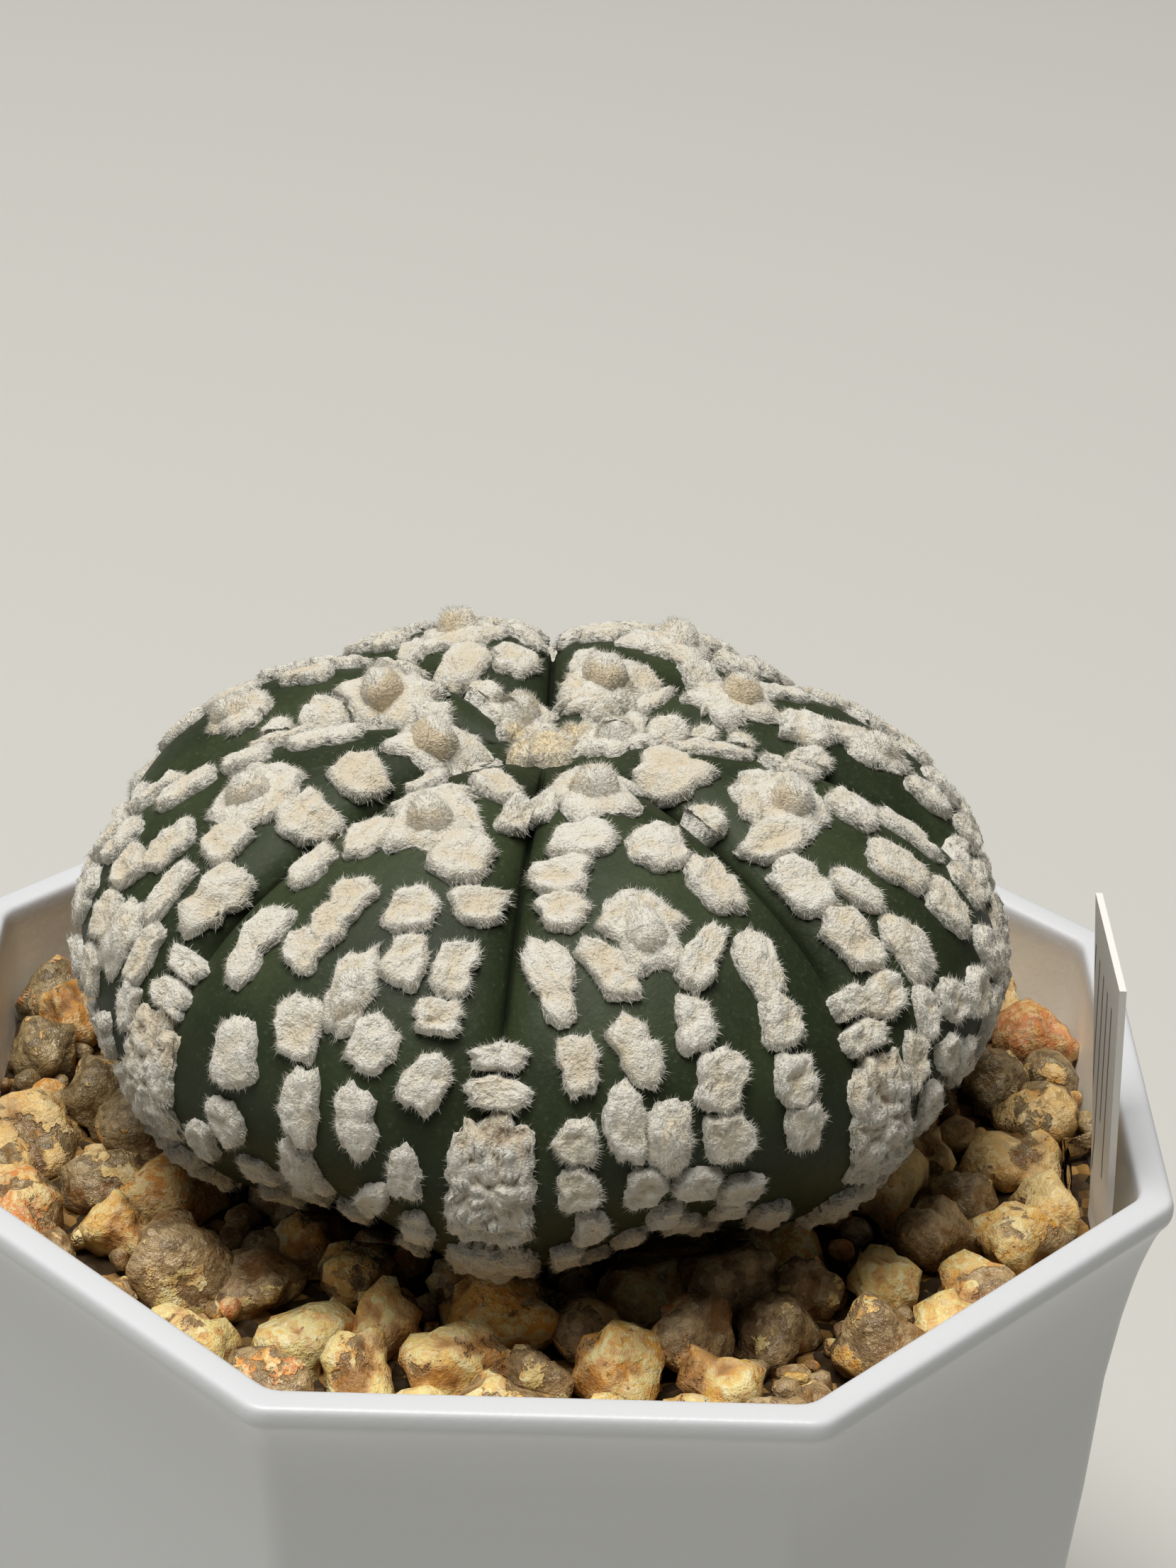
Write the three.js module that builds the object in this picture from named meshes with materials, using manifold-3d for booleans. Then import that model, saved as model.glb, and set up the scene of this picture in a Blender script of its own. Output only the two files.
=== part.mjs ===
// A star cactus of the coarse-flecked kind in an eight-sided plastic pot of gravel, with a plain label.
// Millimetres, +Z up. The origin is the middle of the pot's underside and the front is -Y.

import * as THREE from 'three';
import { ConvexHull } from 'three/addons/math/ConvexHull.js';
import { mergeVertices } from 'three/addons/utils/BufferGeometryUtils.js';
import Module from 'manifold-3d';

const wasm = await Module();
wasm.setup();

// Pot
const POT_HEIGHT = 80;
const RIM_APOTHEM = 45;
const RIM_INNER_APOTHEM = 42.45;
const WALL = 1.1;
const FLOOR = 1.8;
const CORNER_RADIUS = 2.4;
const DRAIN_RADIUS = 3.5;
const DRAIN_RING = 21;
const DRAIN_COUNT = 4;

// Gap between pieces that touch
const GAP = 0.3;

// Gravel
const BED_LEVEL = POT_HEIGHT - 10.5;
const STONE_SEED = 4711;
const STONE_PITCH = 6.4;
const STONE_SIZE = [6, 10.2];
const STONE_SIDES = 10;
const STONE_LEVEL = POT_HEIGHT - 6.2;
const BANK_HEIGHT = 3.2;

// Cactus body
const BODY_X = -0.5;
const BODY_RADIUS = 33.6;
const BODY_MIDDLE = POT_HEIGHT + 9.8;
const BODY_TOP = 17.8;
const BODY_BOTTOM = 18.5;
const TOP_POWER = 2.15;
const BOTTOM_POWER = 1.8;
const CROWN_DIP = 2.6;
const CROWN_DIP_RADIUS = 7.4;
const RIBS = 8;
const GROOVES = [-5.3, 44, 90, 134, 179, 221, 262, 307];
const RIB_SWELL = 1.6;
const CREASE_DEPTH = 1.2;
const CREASE_WIDTH = 0.8;
const LOBE_SWELL = 2.6;
const ROOT_RADIUS = 4.5;
const ROOT_DEPTH = 14;

// Flecks of felt
const FLECK_SEED = 88;
const FLECK_HEIGHT = 0.9;
const FLECK_SCALE = 0.92;
const TUFT_HEIGHT = 1.5;
const CROWN_ARC = 21.6;

// Label
const LABEL_WIDTH = 13.7;
const LABEL_TAPER = 0.29;
const LABEL_THICKNESS = 0.5;
const LABEL_Y = -9.8;

const DEG = Math.PI / 180;

// A small seeded random source
function randomFrom(seed) {
  let state = seed >>> 0;
  return () => {
    state = (state + 0x6D2B79F5) >>> 0;
    let t = Math.imul(state ^ (state >>> 15), state | 1);
    t = (t ^ (t + Math.imul(t ^ (t >>> 7), t | 61))) >>> 0;
    return ((t ^ (t >>> 14)) >>> 0) / 4294967296;
  };
}

function smooth(a, b, x) {
  const t = Math.min(Math.max((x - a) / (b - a), 0), 1);
  return t * t * (3 - 2 * t);
}

// Degrees wrapped to -180..180
function wrap(angle) {
  return ((angle + 180) % 360 + 360) % 360 - 180;
}

function geometryOf(points, triangles) {
  const geometry = new THREE.BufferGeometry();
  const flat = points.flatMap((p) => [p.x, p.y, p.z]);
  geometry.setAttribute('position', new THREE.Float32BufferAttribute(flat, 3));
  geometry.setIndex(triangles.flat());
  return geometry;
}

function toSolid(geometry) {
  const bare = geometry.clone();
  bare.deleteAttribute('normal');
  bare.deleteAttribute('uv');
  const merged = mergeVertices(bare, 1e-4);
  const vertProperties = new Float32Array(merged.attributes.position.array);
  const triVerts = new Uint32Array(merged.index.array);
  return new wasm.Manifold(new wasm.Mesh({ numProp: 3, vertProperties, triVerts }));
}

function fromSolid(solid) {
  const mesh = solid.getMesh();
  const geometry = new THREE.BufferGeometry();
  const position = new Float32Array(mesh.numVert * 3);
  for (let i = 0; i < mesh.numVert; i += 1) {
    for (let k = 0; k < 3; k += 1) {
      position[3 * i + k] = mesh.vertProperties[mesh.numProp * i + k];
    }
  }
  geometry.setAttribute('position', new THREE.BufferAttribute(position, 3));
  geometry.setIndex([...mesh.triVerts]);
  return geometry;
}

function named(name, geometry, material) {
  const mesh = new THREE.Mesh(geometry, material);
  mesh.name = name;
  return mesh;
}

// Outline of an octagon with rounded corners, its flats facing +X, -X, +Y and -Y
function octagonRing(apothem, z, corner = CORNER_RADIUS, steps = 2) {
  const ring = [];
  const reach = (apothem - corner) / Math.cos(22.5 * DEG);
  for (let k = 0; k < 8; k += 1) {
    const middle = (22.5 + 45 * k) * DEG;
    for (let i = 0; i <= steps; i += 1) {
      const angle = middle + (i / steps - 0.5) * 45 * DEG;
      const x = reach * Math.cos(middle) + corner * Math.cos(angle);
      const y = reach * Math.sin(middle) + corner * Math.sin(angle);
      ring.push(new THREE.Vector3(x, y, z));
    }
  }
  return ring;
}

// Skin over a stack of rings with equal counts, closed by a fan at each end
function stackOfRings(rings) {
  const count = rings[0].length;
  const points = rings.flat();
  const triangles = [];
  for (let r = 0; r + 1 < rings.length; r += 1) {
    for (let i = 0; i < count; i += 1) {
      const a = r * count + i;
      const b = r * count + (i + 1) % count;
      triangles.push([a, b, b + count]);
      triangles.push([a, b + count, a + count]);
    }
  }
  const first = points.length;
  points.push(new THREE.Vector3(0, 0, rings[0][0].z));
  points.push(new THREE.Vector3(0, 0, rings[rings.length - 1][0].z));
  const lastRing = (rings.length - 1) * count;
  for (let i = 0; i < count; i += 1) {
    const j = (i + 1) % count;
    triangles.push([first, j, i]);
    triangles.push([first + 1, lastRing + i, lastRing + j]);
  }
  return geometryOf(points, triangles);
}

// Outer wall as apothem against depth under the rim, flared towards the rim as measured
const WALL_PROFILE = [
  [42.45, 11.0],
  [41.8, 16.7],
  [41.3, 27.0],
  [40.73, 34.7],
  [37.6, POT_HEIGHT - 1.0],
];

function wallApothem(depth) {
  const rows = [[43.3, 6.0], [42.8, 8.8], ...WALL_PROFILE];
  for (let i = 0; i + 1 < rows.length; i += 1) {
    if (depth <= rows[i + 1][1]) {
      const t = (depth - rows[i][1]) / (rows[i + 1][1] - rows[i][1]);
      return rows[i][0] + t * (rows[i + 1][0] - rows[i][0]);
    }
  }
  return rows[rows.length - 1][0];
}

function cylinder(radius, bottom, top, x, y, sides = 16) {
  const geometry = new THREE.CylinderGeometry(radius, radius, top - bottom, sides);
  geometry.rotateX(Math.PI / 2);
  geometry.translate(x, y, (bottom + top) / 2);
  return toSolid(geometry);
}

function makePot() {
  const rim = [[44.25, 2.4], [44.9, 1.4], [RIM_APOTHEM, 0.8], [44.7, 0.2], [44.1, 0]];
  const lip = [[43.3, 0], [42.7, 0.2], [RIM_INNER_APOTHEM, 0.8], [42.4, 2.4]];
  const outside = [[36.8, POT_HEIGHT]];
  WALL_PROFILE.slice().reverse().forEach((row) => outside.push(row));
  outside.push([42.8, 8.8], [43.3, 6.0], ...rim);
  const inside = [...lip, [42.1, 6.0]];
  WALL_PROFILE.slice(0, 4).forEach((row) => inside.push([row[0] - WALL, row[1]]));
  inside.push([wallApothem(POT_HEIGHT - FLOOR) - WALL, POT_HEIGHT - FLOOR]);
  const rings = [...outside, ...inside].map(([apothem, depth]) => octagonRing(apothem, POT_HEIGHT - depth));
  let pot = toSolid(stackOfRings(rings));
  for (let k = 0; k < DRAIN_COUNT; k += 1) {
    const angle = (45 + 90 * k) * DEG;
    const x = DRAIN_RING * Math.cos(angle);
    const y = DRAIN_RING * Math.sin(angle);
    pot = pot.subtract(cylinder(DRAIN_RADIUS, -1, FLOOR + 1, x, y));
  }
  return fromSolid(pot);
}

// Cactus body: a point for the arc from the crown in mm, and the azimuth in degrees from the front
function outline(theta) {
  const s = Math.sin(theta);
  const c = Math.cos(theta);
  const power = c >= 0 ? TOP_POWER : BOTTOM_POWER;
  const k = (Math.abs(s) ** power + Math.abs(c) ** power) ** (-1 / power);
  const r = BODY_RADIUS * s * k;
  const dip = CROWN_DIP * Math.exp(-((r / CROWN_DIP_RADIUS) ** 2));
  return [r, (c >= 0 ? BODY_TOP : BODY_BOTTOM) * c * k, dip];
}

const ARC_STEPS = 3000;
const arcTable = [0];
const ROOT_THETA = (() => {
  let last = outline(0);
  let theta = 0;
  for (let i = 1; i <= ARC_STEPS; i += 1) {
    const at = i / ARC_STEPS * Math.PI;
    const here = outline(at);
    const step = Math.hypot(here[0] - last[0], here[1] - here[2] - last[1] + last[2]);
    arcTable.push(arcTable[i - 1] + step);
    if (at > Math.PI / 2 && here[0] > ROOT_RADIUS) {
      theta = at;
    }
    last = here;
  }
  return theta;
})();

function arcAt(theta) {
  const at = theta / Math.PI * ARC_STEPS;
  const i = Math.min(Math.floor(at), ARC_STEPS - 1);
  return arcTable[i] + (at - i) * (arcTable[i + 1] - arcTable[i]);
}

function thetaAt(arc) {
  let low = 0;
  let high = ARC_STEPS;
  while (high - low > 1) {
    const middle = (low + high) >> 1;
    if (arcTable[middle] <= arc) {
      low = middle;
    } else {
      high = middle;
    }
  }
  const span = arcTable[high] - arcTable[low];
  return (low + (span > 0 ? (arc - arcTable[low]) / span : 0)) / ARC_STEPS * Math.PI;
}

const ROOT_ARC = arcAt(ROOT_THETA);
const FULL_ARC = ROOT_ARC + ROOT_DEPTH + ROOT_RADIUS * 0.75;

function radiusAt(arc) {
  return Math.max(outline(thetaAt(Math.min(arc, ROOT_ARC)))[0], 0.05);
}

function rootRadius(arc) {
  const down = Math.min(arc - ROOT_ARC, ROOT_DEPTH);
  const inward = Math.max(arc - ROOT_ARC - ROOT_DEPTH, 0);
  return outline(ROOT_THETA)[0] * (1 - 0.25 * down / ROOT_DEPTH) - inward;
}

// Polar angle on a ball that keeps small shapes alike: along and across the skin shrink by the same factor
const POLAR_STEP = 0.1;
const polarTable = (() => {
  const table = [-8];
  for (let arc = POLAR_STEP; arc < FULL_ARC; arc += POLAR_STEP) {
    const r = arc > ROOT_ARC ? Math.max(rootRadius(arc), 0.05) : radiusAt(arc);
    table.push(table[table.length - 1] + POLAR_STEP / r);
  }
  const middle = table[Math.round(arcAt(Math.PI / 2) / POLAR_STEP)];
  return table.map((value) => value - middle);
})();

function polarAt(arc) {
  const at = Math.min(arc / POLAR_STEP, polarTable.length - 1.001);
  const i = Math.floor(at);
  const value = polarTable[i] + (at - i) * (polarTable[i + 1] - polarTable[i]);
  return 2 * Math.atan(Math.exp(value));
}

// Rib under an azimuth: the place across it from -1 to 1 between its grooves, and its half width in degrees
function ribUnder(azimuth) {
  const turn = ((azimuth - GROOVES[0]) % 360 + 360) % 360 + GROOVES[0];
  let rib = RIBS - 1;
  while (turn < GROOVES[rib]) {
    rib -= 1;
  }
  const [middle, half] = ribSpan(rib);
  return [(turn - middle) / half, half];
}

// Middle and half width of a rib in degrees
function ribSpan(rib) {
  const end = rib + 1 < RIBS ? GROOVES[rib + 1] : GROOVES[0] + 360;
  return [(GROOVES[rib] + end) / 2, (end - GROOVES[rib]) / 2];
}

function skinPoint(arc, azimuth) {
  const angle = azimuth * DEG;
  if (arc > ROOT_ARC) {
    const r = rootRadius(arc);
    const down = Math.min(arc - ROOT_ARC, ROOT_DEPTH);
    const z = BODY_MIDDLE + outline(ROOT_THETA)[1] - down;
    return new THREE.Vector3(BODY_X + r * Math.sin(angle), -r * Math.cos(angle), z);
  }
  const theta = thetaAt(arc);
  const [r, z, dip] = outline(theta);
  const degrees = theta / DEG;
  const [place, half] = ribUnder(azimuth);
  const u = Math.max(1 - Math.abs(place), 0);
  const upper = smooth(4, 22, degrees) * (1 - smooth(62, 100, degrees));
  const rib = RIB_SWELL * upper * (0.34 - (1 - u) ** 2);
  const across = u * half * DEG * Math.max(r, 1);
  const cut = smooth(3, 12, degrees) * (1 - smooth(92, 110, degrees));
  const crease = -CREASE_DEPTH * cut * Math.exp(-((across / CREASE_WIDTH) ** 1.2));
  const lower = smooth(80, 118, degrees) * (1 - smooth(146, 168, degrees));
  const lobe = LOBE_SWELL * lower * (0.5 * Math.cos(Math.PI * u) - 0.05);
  const push = rib + crease + lobe;
  const out = r + push * Math.sin(theta);
  const up = z + push * Math.cos(theta) - dip;
  return new THREE.Vector3(BODY_X + out * Math.sin(angle), -out * Math.cos(angle), BODY_MIDDLE + up);
}

function skinNormal(arc, azimuth) {
  const step = 0.25;
  const down = skinPoint(arc + step, azimuth).sub(skinPoint(Math.max(arc - step, 0), azimuth));
  const turn = step / radiusAt(arc) / DEG;
  const side = skinPoint(arc, azimuth + turn).sub(skinPoint(arc, azimuth - turn));
  return down.cross(side).normalize();
}

// Flecks of one rib: place across the rib (-1 to 1 between its grooves), arc from the crown, half width,
// half length and lean in degrees, as they lie on the four ribs in view
const RIB_FRONT_LEFT = [
  [0.34, 10.3, 1.7, 1.6, 0], [0.75, 12.6, 0.9, 2.3, 0], [-0.62, 12.3, 1.2, 1.6, 0],
  [0.36, 13.4, 1.4, 1.2, 0], [0.45, 18.2, 2.4, 2.5, 0], [0.68, 22, 2, 1.9, 0],
  [-0.47, 18.8, 1.8, 2.3, 0], [-0.68, 22.8, 1.3, 2.3, 0], [-0.19, 23.9, 1.7, 1.6, 0],
  [-0.19, 26.2, 1.5, 1.9, 0], [-0.26, 28.6, 1.6, 1.8, 0], [0.27, 23.6, 1.8, 2, 0],
  [0.37, 27.2, 1.7, 2.2, 0], [0.66, 27.2, 1.6, 2.3, -10], [0.64, 30.8, 1.8, 1.4, 0],
  [-0.61, 30, 1.8, 3.6, 0], [-0.08, 33.4, 2, 2.3, 0], [0.33, 33.2, 1.8, 2.2, -20],
  [0.64, 35, 1.6, 2.3, -25], [-0.4, 37, 2, 2.7, 0], [0.04, 38.5, 1.6, 2.9, 0],
  [0.33, 38.4, 1.6, 2.7, 8], [0.58, 41.6, 1.3, 2.1, 5], [-0.39, 42, 1.7, 2, 0],
  [-0.04, 43.9, 1.5, 2.2, -20], [0.15, 44.3, 1.2, 2, -10], [0.4, 44.8, 1.3, 2, -30],
  [0.64, 46.6, 1.3, 2.3, 0], [-0.34, 47, 1.6, 2.2, 0], [-0.6, 44.8, 1.2, 2, 0],
  [0.21, 49.4, 1.3, 2.2, 0], [-0.13, 50.2, 1.3, 2, 0], [0.53, 51.8, 1.2, 2, 0],
  [-0.42, 52.4, 1.3, 2, 0],
];

const RIB_FRONT_RIGHT = [
  [-0.8, 10.7, 1.1, 1.9, 0], [-0.42, 15.8, 2.5, 2, 0], [-0.65, 18.9, 2.1, 1.9, 0],
  [-0.65, 22, 1.8, 1.7, 0], [0.28, 17.6, 2.2, 2.3, 0], [0.52, 21.5, 1.9, 2.9, 0],
  [-0.73, 27.6, 1.7, 3.4, 14], [-0.39, 26.8, 1.6, 2.9, 30], [0.17, 26.8, 1.3, 2.9, -42],
  [0.52, 28.3, 1.8, 3, 0], [0.49, 32.3, 1.7, 2.1, 0], [-0.6, 33.2, 1.6, 2.1, 0],
  [-0.31, 32.4, 1.7, 2.9, 22], [0.02, 31.2, 1.6, 2.2, 0], [0.08, 35, 1.8, 2.2, -12],
  [-0.38, 37.1, 1.5, 2.9, 0], [-0.62, 38.3, 1.6, 1.6, 0], [0.1, 38.9, 1.8, 2.1, 18],
  [0.48, 36.3, 1.8, 2.1, 0], [0.51, 39.6, 1.6, 2.1, 0], [-0.6, 41.7, 1.6, 1.7, 0],
  [-0.29, 41.9, 1.6, 1.8, 0], [-0.04, 42, 1.9, 1.4, -10], [-0.53, 45.4, 1.4, 2.1, 0],
  [0.2, 43.4, 1.8, 1.6, 15], [-0.16, 45.4, 1.5, 1.7, 0], [0.21, 46.8, 1.5, 1.7, 0],
  [0.48, 48.6, 1.5, 2.2, 0], [0, 48.8, 1.4, 1.9, 0], [-0.63, 49.4, 1.2, 2, 0],
  [-0.29, 49.8, 1.3, 2.2, 0], [0.19, 52, 1.3, 2, 0], [-0.45, 53.4, 1.3, 1.8, 0],
];

const RIB_RIGHT = [
  [-0.5, 10.9, 2, 3.1, 0], [-0.92, 15.8, 1.2, 1.7, 0], [0.36, 12, 1, 3.4, 15],
  [-0.62, 20.2, 2.4, 1.9, 0], [-0.75, 24.3, 1.9, 2.9, 0], [-0.75, 28.9, 1.9, 2.8, 0],
  [-0.47, 26.4, 1.2, 2.6, 10], [-0.58, 30.8, 1.1, 2.8, 0], [-0.77, 33.7, 1.8, 1.8, 0],
  [0.53, 17.4, 1.3, 2.4, 0], [0.28, 22.8, 1.8, 2.3, 0], [0.01, 27.4, 1.8, 2.6, 20],
  [0.08, 31.8, 1.8, 2.4, 10], [0.5, 27.2, 1.3, 3.4, 0], [0.53, 33, 1.5, 2, 0],
  [-0.55, 36.2, 1.1, 2.2, -20], [-0.31, 36.7, 1.5, 1.9, 15], [-0.05, 37.8, 1.6, 2, 0],
  [0.24, 36.5, 1.4, 2.2, 0], [-0.72, 38.8, 1.1, 2.3, -15], [-0.44, 39.9, 1.5, 1.5, 0],
  [0.44, 39.2, 1.5, 2.1, 0], [0.18, 40.9, 1.4, 2.1, 0], [-0.23, 41.8, 1.5, 1.9, 0],
  [-0.6, 43, 1.4, 2, 0], [0.01, 44.8, 1.3, 2.1, 0], [0.34, 45, 1.3, 2, 0],
  [-0.4, 46.4, 1.3, 2, 0], [-0.76, 47.3, 1.3, 2.1, 0], [0.16, 49.2, 1.3, 2, 0],
  [-0.23, 50.4, 1.3, 2, 0], [-0.56, 51.5, 1.2, 2, 0],
];

const RIB_LEFT = [
  [0.57, 15, 2.4, 2.1, 0], [0.74, 20.1, 2.3, 2.3, 0], [-0.38, 16, 1.3, 3.4, -10],
  [-0.76, 12.4, 0.9, 1.6, 0], [-0.68, 19.6, 0.9, 2.6, 0], [-0.38, 21.8, 1.3, 1.9, 0],
  [0.52, 25.6, 1.8, 2, 0], [0.81, 28.8, 1.8, 3.6, 0], [0.2, 28.8, 1.4, 2.5, 0],
  [0.09, 31.8, 1.7, 1.5, 0], [-0.38, 26.6, 1.7, 2.4, 0], [-0.68, 29.6, 1.2, 2.4, 0],
  [0.52, 30.6, 1.1, 2.9, 10], [0.67, 34.9, 1, 2.6, 5], [0.2, 35.3, 1.7, 1.9, 0],
  [-0.3, 32.2, 1.5, 2.2, 0], [-0.6, 34.6, 1.4, 2, 0], [-0.24, 36.9, 1.6, 2.2, 0],
  [0.72, 38.6, 1.1, 1.9, 0], [0.24, 39.5, 1.4, 2.1, 0], [-0.54, 39.3, 1.5, 2.2, 0],
  [-0.14, 41.6, 1.5, 2, 0], [0.48, 42.7, 1.4, 2.1, 0], [0.17, 44.4, 1.4, 2.1, 0],
  [0.74, 45, 1.3, 2.1, 0], [-0.4, 43.9, 1.4, 1.9, 0], [-0.08, 47.1, 1.4, 2, 0],
  [0.42, 48, 1.3, 2.1, 0], [-0.46, 48.7, 1.3, 2.2, 0], [0.68, 50.4, 1.2, 2, 0],
  [0.16, 51.1, 1.3, 2, 0],
];

// Flecks round the crown on the four ribs behind it
const CROWN_RIGHT = [
  [0.4, 9.1, 0.9, 2.8, 30], [-0.73, 8.6, 1.4, 1.8, 0], [-0.92, 11.2, 1.2, 1.3, 0],
  [-0.89, 14, 0.9, 1.1, 0], [-0.47, 19.4, 1.9, 2.2, 0], [-0.92, 19.6, 1.4, 2, 20],
  [0.29, 19.6, 1.3, 3, 0],
];

const CROWN_BACK_RIGHT = [
  [-0.69, 11.2, 1.4, 1.6, 0], [0.47, 18.6, 1.9, 2.3, 0], [0.05, 24, 1.6, 2.2, 0],
  [-0.81, 17.2, 1.3, 2.2, 0], [0.47, 10.8, 1, 1.8, 0], [-0.69, 23.2, 1.4, 2.4, -15],
];

const CROWN_BACK_LEFT = [
  [0.6, 11.8, 2.4, 2.4, 0], [0.69, 18.4, 1.2, 1.6, 0], [0.83, 8.2, 1, 1.7, 20],
  [-0.27, 10.2, 1.8, 2.4, -30], [-0.7, 18, 1.3, 2.6, 15], [0.57, 22.6, 1.5, 1.7, 0],
  [-0.45, 23.4, 1.5, 2, 0],
];

const CROWN_LEFT = [
  [0.74, 17.2, 1.8, 2, 0], [0.91, 20.9, 1.1, 1.5, 0], [-0.08, 20.4, 1.5, 2.3, 0],
  [-0.65, 15.4, 1.4, 2.2, 0], [-0.69, 21.4, 1.5, 2.2, 0], [0.65, 8.6, 1.1, 1.6, 0],
];

function outer(table) {
  return table.filter(([, arc]) => arc > CROWN_ARC);
}

// The left flank is bare beside its groove
function bareSide(table) {
  return table.filter(([place]) => place < 0.42);
}

// Rib by rib from the front to the right: its flecks, its areoles as arc from the crown and azimuth, and how
// far its flecks are nudged. Outside the crown, the ribs behind repeat the ones in view.
const RIB_TABLE = [
  [RIB_FRONT_RIGHT, [[10.3, 18], [24, 16], [38.4, 15]], 0],
  [RIB_RIGHT, [[18.6, 64], [31.6, 57]], 0],
  [[...CROWN_RIGHT, ...outer(RIB_LEFT)], [[4.8, 92], [14.6, 112], [25.2, 103], [39, 108]], 0.05],
  [[...CROWN_BACK_RIGHT, ...outer(RIB_FRONT_LEFT)], [[8.6, 153], [19, 150], [32.5, 154]], 0.05],
  [[...CROWN_BACK_LEFT, ...outer(RIB_FRONT_RIGHT)], [[3.8, 211], [17.8, 202], [31.5, 199]], 0.05],
  [[...CROWN_LEFT, ...bareSide(outer(RIB_RIGHT))], [[12.6, 249], [24.8, 251], [38.5, 245]], 0.05],
  [RIB_LEFT, [[8.6, 291], [21.8, 289], [35.2, 294]], 0],
  [RIB_FRONT_LEFT, [[15.6, 330], [30.2, 334], [44.4, 331]], 0],
];

function makeFlecks() {
  const random = randomFrom(FLECK_SEED);
  const flecks = [];
  const add = (azimuth, arc, halfWidth, halfLength, lean, kind, height) => {
    const phase = [random() * 6.283, random() * 6.283];
    flecks.push({ azimuth, arc, halfWidth, halfLength, lean: lean * DEG, kind, height, phase });
  };
  RIB_TABLE.forEach(([table, areoles, nudge], rib) => {
    const [middle, half] = ribSpan(rib);
    areoles.forEach(([arc, azimuth]) => {
      // Areoles near the crown stand up from a broad petalled pad, the ones further out lie in a long low one
      const near = 1 - smooth(18, 30, arc);
      const width = (1.7 + 1.5 * near) * (0.75 + 0.25 * smooth(3, 9, arc));
      const length = (2.9 + 0.7 * near) * (0.75 + 0.25 * smooth(3, 9, arc));
      add(azimuth, arc, width, length, 0, 'pad', FLECK_HEIGHT);
      if (near > 0.3) {
        add(azimuth - 5 * near, arc - 0.6 * width, 1.0, width * 0.9, -50, 'pad', FLECK_HEIGHT);
        add(azimuth + 5 * near, arc - 0.5 * width, 1.0, width * 0.9, 50, 'pad', FLECK_HEIGHT);
      }
      const size = 1.2 + 0.35 * near;
      const rise = FLECK_HEIGHT * 0.8 + TUFT_HEIGHT * (0.4 + 0.6 * near);
      add(azimuth, arc + 0.35, size, size + 0.9 * (1 - near), 0, 'tuft', rise);
    });
    table.forEach(([u, arc, halfWidth, halfLength, lean]) => {
      const azimuth = middle + half * (u + nudge * (random() - 0.5));
      const at = arc + nudge * 14 * (random() - 0.5);
      const clear = areoles.every((areole) => {
        const x = wrap(azimuth - areole[1]) * DEG * radiusAt(at);
        const pad = 1.4 + 1.4 * (1 - smooth(18, 30, areole[0]));
        return Math.hypot(x, at - areole[0]) > pad + 0.3 * halfLength;
      });
      if (clear) {
        const height = FLECK_HEIGHT * (0.85 + 0.3 * random());
        add(azimuth, at, FLECK_SCALE * halfWidth, FLECK_SCALE * halfLength, lean, 'fleck', height);
      }
    });
  });
  // Under each crease: two tufts that lie across it, then two large crumbled patches
  GROOVES.forEach((groove, k) => {
    const shift = k === 0 ? 0 : 1.2 * random();
    add(groove, 32.9 + shift, 1.9, 1.0, 0, 'fleck', FLECK_HEIGHT);
    add(groove, 35.5 + shift, 2.3, 1.15, 0, 'fleck', FLECK_HEIGHT);
    add(groove, 41.9 + shift, 2.9, 4.6, 0, 'patch', FLECK_HEIGHT);
    add(groove, 50.1 + shift, 2.9, 2.8, 0, 'patch', FLECK_HEIGHT);
  });
  // New wool in the dip of the crown
  add(0, 1.2, 2.0, 2.2, 0, 'wool', 1.9);
  add(-40, 2.6, 1.2, 2.0, 20, 'wool', 1.5);
  add(120, 2.4, 1.1, 1.7, 0, 'wool', 1.4);
  add(-120, 2.3, 1.0, 1.5, 0, 'wool', 1.2);
  return flecks;
}

// Place of a point that lies x across and y along from a fleck's middle
function fromFleck(fleck, x, y) {
  const a = x * Math.cos(fleck.lean) + y * Math.sin(fleck.lean);
  const b = -x * Math.sin(fleck.lean) + y * Math.cos(fleck.lean);
  if (fleck.arc < 16) {
    const angle = fleck.azimuth * DEG;
    const px = (fleck.arc + b) * Math.sin(angle) + a * Math.cos(angle);
    const py = (fleck.arc + b) * Math.cos(angle) - a * Math.sin(angle);
    return { arc: Math.hypot(px, py), azimuth: Math.atan2(px, py) / DEG };
  }
  const arc = fleck.arc + b;
  return { arc, azimuth: fleck.azimuth + a / radiusAt(arc) / DEG };
}

function toFleck(fleck, arc, azimuth) {
  let a = 0;
  let b = 0;
  if (fleck.arc < 16) {
    const turn = wrap(azimuth - fleck.azimuth) * DEG;
    a = arc * Math.sin(turn);
    b = arc * Math.cos(turn) - fleck.arc;
  } else {
    a = wrap(azimuth - fleck.azimuth) * DEG * radiusAt(arc);
    b = arc - fleck.arc;
  }
  const x = a * Math.cos(fleck.lean) - b * Math.sin(fleck.lean);
  const y = a * Math.sin(fleck.lean) + b * Math.cos(fleck.lean);
  return [x, y];
}

// How square a fleck is: 2 for an ellipse, more for a box with round corners
const SQUARENESS = { tuft: 2, wool: 2, pad: 2.5, fleck: 2.5, patch: 4.5 };

// Wavy edge of a fleck as a factor on its half sizes
function edgeOf(fleck, t) {
  return 1 + 0.05 * Math.cos(3 * t + fleck.phase[0]) + 0.04 * Math.cos(5 * t + fleck.phase[1]);
}

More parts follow.
